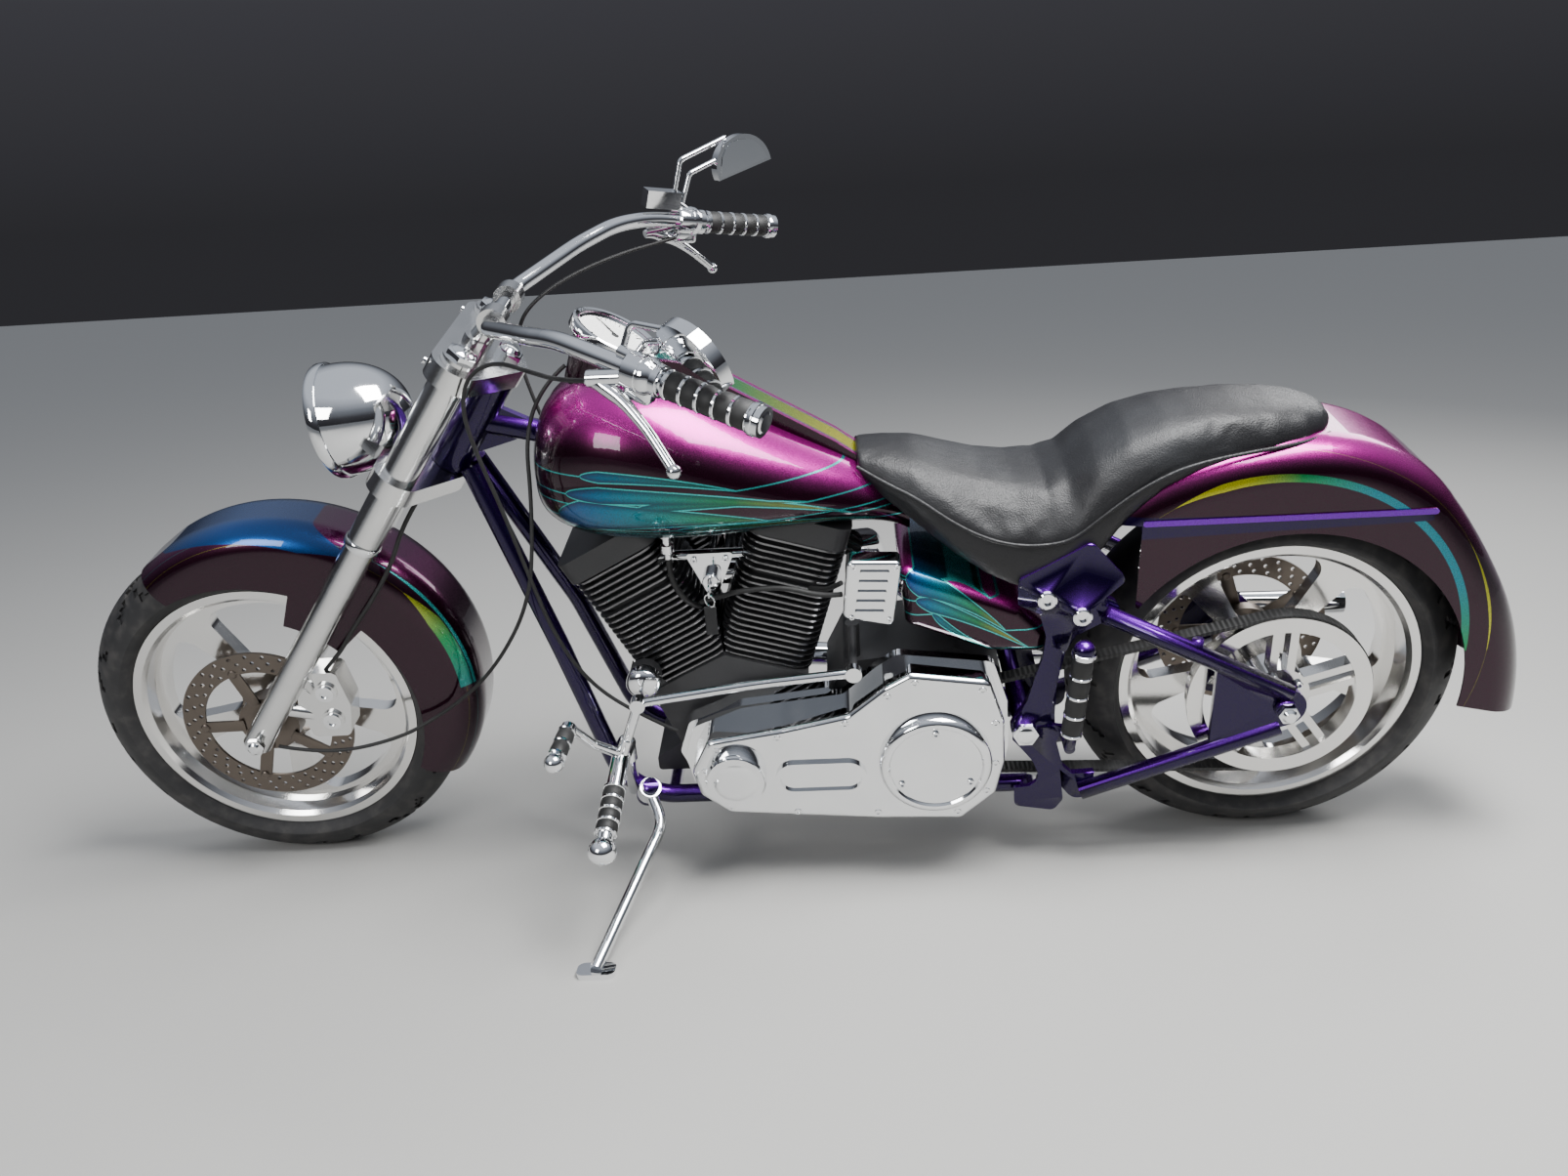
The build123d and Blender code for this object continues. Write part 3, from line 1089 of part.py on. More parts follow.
def key_bracket(cylinders):
    """Three-cornered key plate between the cylinders, on a bar held by both heads."""
    plate = slab(outline(KEY_PLATE, 5), *KEY_PLATE_Y)
    x, z = KEY_PLACE
    plate += side_disc(Vector(x, 0, z), 14, KEY_PLATE_Y[1] - 1, KEY_PLATE_Y[1] + 12)
    plate += rod((x, 50, 590), (x, KEY_PLATE_Y[0] + 1, 590), 9)
    plate += rod((x - 100, 50, 590), (x + 110, 50, 590), 9)
    for block in cylinders:
        plate -= block
    return largest(plate)


def forward_controls(rails):
    """Foot pegs on brackets from the rails, the shift lever with its rod, and the brake pedal."""
    pieces = {}
    for side in (-1, 1):
        hub = Vector(HUB[0], side * HUB[1], HUB[2])
        end = Vector(PEG_OUT[0], side * PEG_OUT[1], PEG_OUT[2])
        piece = rod(Vector(1078, side * RAIL_HALF, 172), (HUB[0], side * 190, 300), 11)
        piece += rod((HUB[0], side * 184, 320), hub, 15)
        piece += rod((HUB[0], side * 190, 292), (HUB[0], side * 190, 326), 15)
        piece += rod(hub - Vector(0, side * 6, 0), end - (end - hub).normalized() * 14, PEG_R)
        piece += Pos(*end) * Sphere(22)
        pieces[side] = piece
    lever = rod(SHIFT_ARM[0], SHIFT_ARM[1], 8) + rod(HUB, SHIFT_ARM[0], 10)
    lever += pipe(SHIFT_ROD, [900], 7.5) + rod((1026, 220, 424), (1026, 240, 424), 12)
    eye = SHIFT_ROD[-1]
    lever += rod((eye[0], eye[1] - 7, eye[2]), (eye[0], eye[1] + 9, eye[2]), 13)
    lever += pipe([HUB] + TOE_LEVER[:3], [24, 30], 8) + rod(TOE_LEVER[2], TOE_LEVER[3], 12)
    lever += Pos(*TOE_LEVER[3]) * Sphere(15)
    pieces[1] += lever
    pad = Vector(*PEDAL_PLACE)
    hub = Vector(HUB[0], -HUB[1], HUB[2])
    pieces[-1] += pipe([hub, (1098, -258, 372), pad], [30], 8)
    pad_plane = Plane(origin=pad, x_dir=(0, 1, 0), z_dir=(-0.5, 0, 0.86))
    pieces[-1] += extrude(pad_plane * RectangleRounded(70, 44, 8), amount=8)
    pieces = {side: largest(piece - rails[side]) for side, piece in pieces.items()}
    return {"forward_control_" + SIDE_NAME[side]: piece for side, piece in pieces.items()}


def side_stand():
    """Side stand: leg, bend and foot pad, drawn where it holds the machine."""
    pivot = Vector(*STAND_PIVOT)
    x, y = STAND_FOOT_XY
    leg = pipe([pivot, (1015, 220, 180), (x, y, road_z(y) + STAND_PAD + 2)], [60], STAND_R)
    pad_plane = Plane(origin=(x, y, road_z(y)), x_dir=(1, 0, 0), z_dir=UP_WHEN_LEANED)
    leg += extrude(pad_plane * RectangleRounded(60, 34, 12), amount=STAND_PAD)
    leg -= rod(pivot - STAND_AXIS * 30, pivot + STAND_AXIS * 30, STAND_EYE_R - 2)
    half = STAND_AXIS * STAND_EYE_HALF
    return leg + hollow_rod(pivot - half, pivot + half, STAND_EYE_R, STAND_PIN_R + SEAT_GAP)


def stand_bracket():
    """Pin and arm of the frame that carry the side stand."""
    pivot = Vector(*STAND_PIVOT)
    foot = pivot - STAND_AXIS * (STAND_EYE_HALF + SEAT_GAP)
    head = pivot + STAND_AXIS * (STAND_EYE_HALF + SEAT_GAP)
    bracket = rod(foot - STAND_AXIS * 2, head + STAND_AXIS * 2, STAND_PIN_R)
    bracket += rod(head, head + STAND_AXIS * 6, STAND_PIN_R + 6)
    bracket += rod(foot - STAND_AXIS * 9, foot, STAND_EYE_R)
    return bracket + rod((1052, RAIL_HALF, RAIL_Z + 4), foot - STAND_AXIS * 9, 12)


def steered(point):
    """Point of the fork where the bars rest."""
    return STEER_FOOT + turn(Vector(*point) - STEER_FOOT, STEER_AXIS, STEER_REST)


def cable_pieces():
    """Cables between the fork and the frame, each from where its fork end rests."""
    routes = {
        "clutch_cable": (CLUTCH_START, CLUTCH_ROUTE),
        "speedometer_cable": (SPEEDO_START, SPEEDO_ROUTE),
        "throttle_cable": (THROTTLE_START, THROTTLE_ROUTE),
    }
    lines = {name: [steered(p) for p in start] + rest for name, (start, rest) in routes.items()}
    return {name: cord(line, CABLE_R) for name, line in lines.items()}


def collect():
    """All pieces, by body: those of the frame, of the steering and of each wheel, and the stand."""
    frame = frame_pieces()
    frame.update(swing_arm_pieces())
    frame["rear_fender"] = rear_fender()
    frame["fuel_tank"] = fuel_tank()
    frame["dash_console"] = dash_console(frame["fuel_tank"])
    frame["seat"] = seat(frame["fuel_tank"], frame["rear_fender"], frame["dash_console"])
    frame["oil_tank"] = oil_tank()
    frame.update(cylinder_pieces())
    cylinders = [frame["cylinder_front"], frame["cylinder_rear"]]
    frame["crankcase"] = crankcase()
    frame["primary_case"] = primary_case()
    frame.update(gearbox_pieces())
    frame["exhaust_pipes"] = exhaust_pipes()
    frame["air_cleaner"] = air_cleaner(cylinders)
    frame["coil_cover"] = coil_cover(frame["oil_tank"])
    frame["key_bracket"] = key_bracket(cylinders)
    frame.update(forward_controls({side: frame["frame_rail_" + SIDE_NAME[side]] for side in (-1, 1)}))
    frame.update(cable_pieces())
    return {
        "frame": frame,
        "steering": steering_pieces(),
        "front_wheel": front_wheel_pieces(),
        "rear_wheel": rear_wheel_pieces(),
        "side_stand": {"side_stand": side_stand()},
    }


def parked(bodies):
    """Pieces where they stand: steering at its rest, machine leaned over, middle of the box at the origin."""
    steer = Axis(STEER_FOOT, STEER_AXIS)
    leaned = {}
    for body, pieces in bodies.items():
        for name, solid in pieces.items():
            placed = solid.rotate(steer, STEER_REST) if body in ("steering", "front_wheel") else solid
            leaned[name] = placed.rotate(Axis.X, -LEAN)
    boxes = [solid.bounding_box() for solid in leaned.values()]
    mid_x = (min(b.min.X for b in boxes) + max(b.max.X for b in boxes)) / 2
    mid_y = (min(b.min.Y for b in boxes) + max(b.max.Y for b in boxes)) / 2
    floor = min(b.min.Z for b in boxes)
    move = Vector(-mid_x, -mid_y, -floor)
    return {name: Pos(*move) * solid for name, solid in leaned.items()}, move


def parked_row(point, direction, move, on_fork):
    """Point and direction of the upright machine, where they lie once it is parked."""
    p = steered(point) if on_fork else Vector(*point)
    d = turn(direction, STEER_AXIS, STEER_REST) if on_fork else Vector(*direction)
    return turn(p, (1, 0, 0), -LEAN) + move, turn(d, (1, 0, 0), -LEAN)


def report_places(move):
    """Print where each joint and each pipe's open end lies on the parked machine."""
    print("move", [round(v, 3) for v in move], [0, 0, 0])
    rows = {
        "steering": (fork(0, 0, LOWER_TREE_W), STEER_AXIS, False),
        "front_wheel": (FRONT_AXLE, (0, 1, 0), True),
        "rear_wheel": (REAR_AXLE, (0, 1, 0), False),
        "side_stand": (STAND_PIVOT, STAND_AXIS, False),
        "exhaust_tip_front": (*exhaust_tip(FRONT_PIPE), False),
        "exhaust_tip_rear": (*exhaust_tip(REAR_PIPE), False),
    }
    for name, (point, direction, on_fork) in rows.items():
        place, way = parked_row(point, direction, move, on_fork)
        print(name, [round(v, 3) for v in place], [round(v, 6) for v in way])


if __name__ == "__main__":
    os.makedirs("parts", exist_ok=True)
    standing, shift = parked(collect())
    for name, solid in standing.items():
        export_step(solid, "parts/" + name + ".step")
    report_places(shift)
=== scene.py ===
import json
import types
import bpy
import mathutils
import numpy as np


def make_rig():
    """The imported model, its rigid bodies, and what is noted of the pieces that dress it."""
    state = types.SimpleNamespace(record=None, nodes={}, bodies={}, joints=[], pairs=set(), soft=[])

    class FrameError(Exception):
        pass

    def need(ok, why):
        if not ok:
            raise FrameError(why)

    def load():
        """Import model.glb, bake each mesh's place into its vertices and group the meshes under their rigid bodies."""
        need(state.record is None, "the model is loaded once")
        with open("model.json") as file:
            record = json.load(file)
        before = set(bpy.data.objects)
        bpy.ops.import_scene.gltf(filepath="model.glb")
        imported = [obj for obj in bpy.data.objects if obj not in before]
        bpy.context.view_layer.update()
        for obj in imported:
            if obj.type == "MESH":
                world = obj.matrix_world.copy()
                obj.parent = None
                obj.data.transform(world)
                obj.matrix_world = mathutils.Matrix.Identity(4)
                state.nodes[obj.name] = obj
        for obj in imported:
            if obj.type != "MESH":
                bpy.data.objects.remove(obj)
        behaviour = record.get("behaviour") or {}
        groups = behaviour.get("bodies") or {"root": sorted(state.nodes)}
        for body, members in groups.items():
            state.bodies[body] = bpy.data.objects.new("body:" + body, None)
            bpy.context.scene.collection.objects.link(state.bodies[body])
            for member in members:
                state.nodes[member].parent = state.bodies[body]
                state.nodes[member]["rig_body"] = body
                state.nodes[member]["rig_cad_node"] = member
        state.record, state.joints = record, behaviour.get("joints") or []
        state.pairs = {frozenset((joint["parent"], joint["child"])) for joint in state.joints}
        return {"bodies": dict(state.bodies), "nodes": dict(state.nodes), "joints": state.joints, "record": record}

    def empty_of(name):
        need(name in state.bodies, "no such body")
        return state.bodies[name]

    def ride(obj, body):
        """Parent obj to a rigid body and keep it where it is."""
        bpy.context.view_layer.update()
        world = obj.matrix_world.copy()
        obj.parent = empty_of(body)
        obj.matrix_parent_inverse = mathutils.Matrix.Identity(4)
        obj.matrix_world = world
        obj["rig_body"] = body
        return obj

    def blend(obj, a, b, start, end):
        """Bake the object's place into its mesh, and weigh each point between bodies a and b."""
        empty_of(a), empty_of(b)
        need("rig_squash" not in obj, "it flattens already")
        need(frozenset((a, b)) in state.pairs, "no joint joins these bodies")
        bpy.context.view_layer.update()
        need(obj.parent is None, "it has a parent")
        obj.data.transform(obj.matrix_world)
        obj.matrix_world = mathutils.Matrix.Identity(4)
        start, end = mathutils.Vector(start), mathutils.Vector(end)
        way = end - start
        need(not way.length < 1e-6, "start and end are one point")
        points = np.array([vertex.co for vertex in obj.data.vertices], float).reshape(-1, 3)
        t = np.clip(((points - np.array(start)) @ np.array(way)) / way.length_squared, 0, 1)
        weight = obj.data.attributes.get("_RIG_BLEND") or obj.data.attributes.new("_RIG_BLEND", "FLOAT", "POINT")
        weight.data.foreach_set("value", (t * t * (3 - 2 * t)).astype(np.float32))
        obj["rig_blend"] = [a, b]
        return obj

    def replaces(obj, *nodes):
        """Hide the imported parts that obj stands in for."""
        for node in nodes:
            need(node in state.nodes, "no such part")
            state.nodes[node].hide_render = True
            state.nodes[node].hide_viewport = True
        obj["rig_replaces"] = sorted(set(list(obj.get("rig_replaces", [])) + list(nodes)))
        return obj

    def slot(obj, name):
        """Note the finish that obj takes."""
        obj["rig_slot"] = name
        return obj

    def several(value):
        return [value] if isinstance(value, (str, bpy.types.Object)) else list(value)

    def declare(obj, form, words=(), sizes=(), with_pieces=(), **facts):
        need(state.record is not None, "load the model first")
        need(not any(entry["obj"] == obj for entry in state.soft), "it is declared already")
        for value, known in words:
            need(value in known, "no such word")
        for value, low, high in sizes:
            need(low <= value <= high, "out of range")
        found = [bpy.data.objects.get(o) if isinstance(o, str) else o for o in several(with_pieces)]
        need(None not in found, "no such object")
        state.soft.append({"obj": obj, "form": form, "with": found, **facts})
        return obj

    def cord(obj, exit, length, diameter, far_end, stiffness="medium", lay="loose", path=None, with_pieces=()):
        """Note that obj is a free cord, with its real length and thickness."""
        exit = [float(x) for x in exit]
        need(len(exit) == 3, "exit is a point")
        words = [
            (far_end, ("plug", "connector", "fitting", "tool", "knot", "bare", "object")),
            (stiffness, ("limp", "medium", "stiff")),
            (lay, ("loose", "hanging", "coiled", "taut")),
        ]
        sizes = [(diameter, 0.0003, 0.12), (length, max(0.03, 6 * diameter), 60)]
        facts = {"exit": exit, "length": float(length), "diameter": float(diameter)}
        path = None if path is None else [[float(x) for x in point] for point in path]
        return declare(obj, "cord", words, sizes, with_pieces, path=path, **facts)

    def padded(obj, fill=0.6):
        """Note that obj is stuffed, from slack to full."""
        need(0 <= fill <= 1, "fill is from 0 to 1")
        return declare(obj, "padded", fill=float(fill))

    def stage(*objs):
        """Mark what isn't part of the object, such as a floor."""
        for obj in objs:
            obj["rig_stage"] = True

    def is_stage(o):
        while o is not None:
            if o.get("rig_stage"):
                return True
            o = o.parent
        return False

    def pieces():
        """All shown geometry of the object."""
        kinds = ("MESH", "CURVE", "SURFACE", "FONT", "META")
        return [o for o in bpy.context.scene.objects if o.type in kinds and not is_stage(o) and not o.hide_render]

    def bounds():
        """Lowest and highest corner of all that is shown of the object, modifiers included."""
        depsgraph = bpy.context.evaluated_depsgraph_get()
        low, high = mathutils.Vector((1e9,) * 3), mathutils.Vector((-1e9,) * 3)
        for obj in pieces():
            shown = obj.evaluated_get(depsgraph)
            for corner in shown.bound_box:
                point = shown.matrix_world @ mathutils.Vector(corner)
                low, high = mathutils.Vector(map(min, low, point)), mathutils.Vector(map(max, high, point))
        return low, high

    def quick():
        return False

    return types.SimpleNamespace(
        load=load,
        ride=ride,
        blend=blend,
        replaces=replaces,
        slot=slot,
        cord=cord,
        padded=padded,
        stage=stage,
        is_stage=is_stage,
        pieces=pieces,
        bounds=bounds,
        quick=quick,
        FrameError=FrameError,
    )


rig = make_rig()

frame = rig.load()

# %% Names, numbers and the box that the model has to stay in
import json
import math
from contextlib import contextmanager
import bpy
from mathutils import Matrix, Vector
from mathutils.bvhtree import BVHTree

CAD_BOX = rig.bounds()
NODES = frame["nodes"]
MM = 0.001
LEAN = math.radians(11.0)
STEER_REST = math.radians(1.9)
PHOTO_WIDTH = 1606
PHOTO_FOCUS_PIXELS = 1304.4
REAR_AXLE = Vector((0.0, 0.0, 0.324))


def linked(name, data):
    """New object in the scene from its data."""
    obj = bpy.data.objects.new(name, data)
    bpy.context.scene.collection.objects.link(obj)
    return obj


# %% [markdown]
# The machine leans on its stand, but its drawings are upright: X runs forward from the rear axle, Y to the
# rider's left and Z up from the road. Everything is modelled upright and then carried into the leaning place
# by one matrix, so that wheels stay round about a level axle and tubes keep their drawn coordinates. What rides
# on the fork gets a second matrix, which also turns it to where the bars rest.

# %% From the upright drawings to the parked machine
joints = {joint["name"]: joint for joint in frame["joints"]}
LEANED = (
    Matrix.Translation(Vector(joints["rear_wheel_spin"]["pos_m"]))
    @ Matrix.Rotation(-LEAN, 4, "X")
    @ Matrix.Translation(-REAR_AXLE)
)
steering_foot = Vector(joints["steering"]["pos_m"])
STEERED = (
    Matrix.Translation(steering_foot)
    @ Matrix.Rotation(STEER_REST, 4, Vector(joints["steering"]["axis"]))
    @ Matrix.Translation(-steering_foot)
    @ LEANED
)
FRONT_AXLE = STEERED.inverted() @ Vector(joints["front_wheel_spin"]["pos_m"])
print("front axle of the drawings", [round(v, 5) for v in FRONT_AXLE])

# %% [markdown]
# The camera stands on the machine's left, a little above the seat, as somebody who takes a picture across the
# street would hold it. Its three directions were worked out from the wheels, the discs and the fork, which are
# round or straight on the real machine.

# %% Camera
camera_data = bpy.data.cameras.new("photo_camera")
camera_data.sensor_width = 36.0
camera_data.lens = PHOTO_FOCUS_PIXELS * camera_data.sensor_width / PHOTO_WIDTH
camera = linked("photo_camera", camera_data)
right = Vector((-0.997352, -0.030694, -0.065935))
down = Vector((0.043403, 0.476254, -0.878236))
ahead = Vector((0.058358, -0.878772, -0.473661))
standing = Matrix((right, -down, -ahead)).transposed().to_4x4()
standing.translation = Vector((0.67358, 1.88872, 1.51283))
camera.matrix_world = LEANED @ standing
bpy.context.scene.camera = camera
print("camera at", [round(v, 3) for v in camera.matrix_world.translation])

# %% [markdown]
# Cables come next, because they decide which side of a tube the other pieces may use. Each is a smooth line
# through listed places. The places near the bars turn with the fork and the others stay with the frame,
# so a cable that goes across is a mesh that bends between the two.

# %% Cable routes
ROUTES = {
    # places on the fork, then places on the frame
    "clutch_cable": (
        [(0.998, 0.366, 1.004), (1.060, 0.300, 0.984), (1.112, 0.236, 0.976)],
        [
            (1.170, 0.176, 0.972), (1.218, 0.162, 0.948), (1.236, 0.160, 0.896), (1.228, 0.156, 0.828),
            (1.206, 0.146, 0.720), (1.188, 0.138, 0.610), (1.166, 0.132, 0.500), (1.128, 0.126, 0.408),
            (1.066, 0.118, 0.340), (0.990, 0.116, 0.292),
        ],
    ),
    "speedometer_cable": (
        [
            (1.683, 0.118, 0.295), (1.636, 0.120, 0.283), (1.556, 0.120, 0.280), (1.464, 0.110, 0.298),
            (1.412, 0.098, 0.322),
        ],
        [
            (1.362, 0.096, 0.352), (1.296, 0.098, 0.408), (1.230, 0.110, 0.500), (1.198, 0.108, 0.574),
            (1.186, 0.092, 0.648), (1.182, 0.066, 0.724), (1.182, 0.046, 0.790), (1.168, 0.030, 0.844),
            (1.134, 0.018, 0.890), (1.1095, 0.012, 0.907),
        ],
    ),
    "throttle_cable": (
        [(0.930, -0.392, 0.998), (0.982, -0.376, 0.990), (1.050, -0.322, 0.988), (1.124, -0.238, 0.980)],
        [
            (1.180, -0.176, 0.966), (1.216, -0.162, 0.930), (1.226, -0.158, 0.868), (1.204, -0.146, 0.780),
            (1.172, -0.130, 0.690), (1.110, -0.122, 0.618), (1.030, -0.124, 0.576), (0.942, -0.126, 0.538),
        ],
    ),
    "brake_hose": (
        [
            (1.359, 0.100, 0.728), (1.388, 0.104, 0.690), (1.416, 0.112, 0.628), (1.462, 0.116, 0.566),
            (1.506, 0.116, 0.514), (1.530, 0.112, 0.480), (1.555, 0.105, 0.453), (1.574, 0.100, 0.4332),
        ],
        [],
    ),
}
CABLE_LENGTHS = {"clutch_cable": 1.05, "speedometer_cable": 1.02, "throttle_cable": 0.91, "brake_hose": 0.37}
CABLE_RADIUS = 0.0032
HOSE_RADIUS = 0.0036


def smoothed(obj):
    """Shade every face of an object smooth."""
    for polygon in obj.data.polygons:
        polygon.use_smooth = True


def smooth_route(name, places, radii=None, steps=10):
    """Curve object whose control points are the places, in the row frame."""
    data = bpy.data.curves.new(name, "CURVE")
    data.dimensions = "3D"
    data.resolution_u = steps
    spline = data.splines.new("NURBS")
    spline.points.add(len(places) - 1)
    for point, place, radius in zip(spline.points, places, radii or [1.0] * len(places)):
        point.co = (*place, 1.0)
        point.radius = radius
    spline.order_u = 3
    spline.use_endpoint_u = True
    return linked(name, data)


def mesh_of(curve):
    """Mesh of what a curve object shows."""
    depsgraph = bpy.context.evaluated_depsgraph_get()
    return bpy.data.meshes.new_from_object(curve.evaluated_get(depsgraph))


def tube_from(curve, radius, name, sides=3):
    """Mesh tube along a curve object, which it uses up, and the points of the curve's line."""
    path = [v.co.copy() for v in mesh_of(curve).vertices]
    curve.data.bevel_depth = radius
    curve.data.bevel_resolution = sides
    curve.data.use_fill_caps = True
    mesh = mesh_of(curve)
    mesh.name = name
    bpy.data.objects.remove(curve)
    tube = linked(name, mesh)
    smoothed(tube)
    return tube, path


cables = []
for name, (on_fork, on_frame) in ROUTES.items():
    places = [STEERED @ Vector(p) for p in on_fork] + [LEANED @ Vector(p) for p in on_frame]
    radius = CABLE_RADIUS if on_frame else HOSE_RADIUS
    cable, path = tube_from(smooth_route(name, places), radius, name + "_run")
    print(name, "is", round(sum((b - a).length for a, b in zip(path, path[1:])), 3), "m")
    if on_frame:
        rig.blend(cable, "steering", "frame", start=places[len(on_fork) - 1], end=places[len(on_fork) + 3])
    else:
        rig.ride(cable, "steering")
    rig.slot(cable, "black_rubber")
    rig.replaces(cable, name)
    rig.cord(
        cable, exit=path[0], length=CABLE_LENGTHS[name], diameter=2 * radius, far_end="object",
        stiffness="stiff", lay="taut" if name == "brake_hose" else "loose", path=path,
    )
    cables.append(cable)

# %% [markdown]
# ## Materials
# Lacquer, chrome and rubber all read the place on the machine in upright millimetres, so that painted lines can
# be given as side-view coordinates. The small class below lets a formula be written with ordinary signs; each
# sign adds the shader node that does that sum.


# %% Shader sums
def feed(tree, entry, value):
    """Give a node's entry a field, a colour, a vector or a number."""
    if isinstance(value, Field):
        tree.links.new(value.socket, entry)
    elif isinstance(value, tuple) and entry.type == "RGBA":
        entry.default_value = (*value, 1)
    else:
        entry.default_value = value


def sum_node(operation):
    """Method that adds one Math node to a field's tree."""

    def method(self, *others):
        return self.math(operation, *others)

    return method


class Field:
    """A number that shader nodes work out at each point of a surface."""

    def __init__(self, tree, socket):
        self.tree = tree
        self.socket = socket

    def math(self, operation, *others, clamp=False):
        """Field after one Math node."""
        node = self.tree.nodes.new("ShaderNodeMath")
        node.operation = operation
        node.use_clamp = clamp
        for entry, value in zip(node.inputs, (self, *others)):
            feed(self.tree, entry, value)
        return Field(self.tree, node.outputs[0])

    __add__ = sum_node("ADD")
    __sub__ = sum_node("SUBTRACT")
    __mul__ = sum_node("MULTIPLY")
    __truediv__ = sum_node("DIVIDE")
    size = sum_node("ABSOLUTE")
    least = sum_node("MINIMUM")
    most = sum_node("MAXIMUM")

    def held(self):
        """Value kept between 0 and 1."""
        return self.math("ADD", 0.0, clamp=True)

    def flipped(self):
        """1 less the value."""
        return (self * -1.0) + 1.0

    def rise(self, low, high):
        """0 under low, 1 over high, smooth between."""
        node = added(self.tree, "MapRange", {"Value": self, "From Min": low, "From Max": high})
        node.interpolation_type = "SMOOTHSTEP"
        return Field(self.tree, node.outputs["Result"])


def fill(tree, shader, values):
    """Give several inputs of a shader their fields or constants."""
    for label, value in values.items():
        feed(tree, shader.inputs[label], value)


def added(tree, kind, values):
    """New shader node with these inputs."""
    node = tree.nodes.new("ShaderNode" + kind)
    fill(tree, node, values)
    return node


def own_space(tree, kind="Object"):
    """Coordinates, or the normal, of the object itself."""
    return Field(tree, tree.nodes.new("ShaderNodeTexCoord").outputs[kind])


def split(tree, field):
    """x, y and z of a vector."""
    return [Field(tree, output) for output in added(tree, "SeparateXYZ", {"Vector": field}).outputs]


def new_material(name):
    """Material with its node tree and its shader."""
    material = bpy.data.materials.new(name)
    material.use_nodes = True
    tree = material.node_tree
    return material, tree, tree.nodes["Principled BSDF"]


def effect(name, inputs, outputs, build):
    """Shader node group; build is given its tree and inputs and returns its outputs."""
    group = bpy.data.node_groups.new(name, "ShaderNodeTree")
    for label, kind in inputs:
        group.interface.new_socket(label, in_out="INPUT", socket_type=kind)
    for label, kind in outputs:
        group.interface.new_socket(label, in_out="OUTPUT", socket_type=kind)
    start = group.nodes.new("NodeGroupInput")
    end = group.nodes.new("NodeGroupOutput")
    results = build(group, *[Field(group, start.outputs[label]) for label, _ in inputs])
    for (label, _), result in zip(outputs, results):
        feed(group, end.inputs[label], result)
    return group


def placed(group, tree, *values):
    """Outputs of a node group that is placed in a tree with values of its own."""
    node = tree.nodes.new("ShaderNodeGroup")
    node.node_tree = group
    for entry, value in zip(node.inputs, values):
        feed(tree, entry, value)
    return [Field(tree, output) for output in node.outputs]


def ramp(tree, field, stops):
    """Colour that runs through the stops, (position, colour)."""
    node = tree.nodes.new("ShaderNodeValToRGB")
    elements = node.color_ramp.elements
    while len(elements) < len(stops):
        elements.new(0.5)
    for element, (position, colour) in zip(elements, stops):
        element.position = position
        element.color = (*colour, 1)
    feed(tree, node.inputs["Fac"], field)
    return Field(tree, node.outputs["Color"])


COLOUR_UNDER = 6
COLOUR_OVER = 7
COLOUR_OUT = 2


def mix(tree, field, under, over):
    """Colour between two others."""
    node = tree.nodes.new("ShaderNodeMix")
    node.data_type = "RGBA"
    fill(tree, node, {"Factor": field, COLOUR_UNDER: under, COLOUR_OVER: over})
    return Field(tree, node.outputs[COLOUR_OUT])


def bump(tree, shader, field, height):
    """Small relief, its height in metres."""
    node = added(tree, "Bump", {"Distance": height, "Height": field})
    tree.links.new(node.outputs["Normal"], shader.inputs["Normal"])


# %% [markdown]
# Effects that several materials share are node groups, each built once and placed with its own values.


# %% Shared effects
NUMBER = "NodeSocketFloat"
COLOUR = "NodeSocketColor"
VECTOR = "NodeSocketVector"


def numbers(*labels):
    """Number sockets with these names."""
    return [(label, NUMBER) for label in labels]


def lumps_nodes(tree, scale, detail, stretch):
    """Noise over the machine, in lumps per metre."""
    mapping = added(tree, "Mapping", {"Vector": own_space(tree), "Scale": stretch})
    place = Field(tree, mapping.outputs["Vector"])
    texture = added(tree, "TexNoise", {"Vector": place, "Scale": scale, "Detail": detail})
    return [Field(tree, texture.outputs["Fac"])]


def place_nodes(tree, location, rotation):
    """Place on the machine in millimetres of the drawing."""
    mapping = added(tree, "Mapping", {
        "Vector": own_space(tree), "Location": location, "Rotation": rotation, "Scale": (1 / MM, 1 / MM, 1 / MM),
    })
    return split(tree, Field(tree, mapping.outputs["Vector"]))


LUMPS = effect(
    "Lumps", numbers("Scale", "Detail") + [("Stretch", VECTOR)], numbers("Height"), lumps_nodes
)
PLACE = effect(
    "Place on the machine", [("Location", VECTOR), ("Rotation", VECTOR)], numbers("X", "Y", "Z"), place_nodes
)


def noise(tree, scale, detail=2.0, stretch=(1, 1, 1)):
    """Noise over the machine, in lumps per metre."""
    return placed(LUMPS, tree, scale, detail, stretch)[0]


def place_fields(tree, matrix):
    """x, y and z in millimetres of the drawing that the matrix parks."""
    back = matrix.inverted()
    return placed(PLACE, tree, back.translation / MM, back.to_euler())


def candy_nodes(tree, deep, light):
    """Lacquer deep on the sides, with a painted highlight colour towards the tops and fine flakes."""
    flakes = noise(tree, 900.0, 3.0)
    cloud = noise(tree, 3.0)
    tone = split(tree, own_space(tree, "Normal"))[2] + (flakes + cloud) * 0.25
    # Painted highlight: faces that point upwards take the light colour, as if lit from above.
    band = tone.rise(0.42, 1.02) * (tone.rise(1.08, 1.30) * -0.7 + 1.0)
    return [mix(tree, band, deep, light), flakes * 0.10 + 0.22]


def flame_nodes(tree, x, z, root_x, root_z, tip_x, tip_z, width, bow):
    """How far a point lies inside one flame, in millimetres, below 0 outside."""
    along = ((x * -1.0 + root_x) / (root_x - tip_x)).held()
    rest = along.flipped()
    centre = along * (tip_z - root_z) + along * rest * (bow * 4.0) + root_z
    nose = (along * 8.0).held().math("POWER", 0.5)
    return [rest.math("POWER", 0.8) * nose * width - (z - centre).size()]


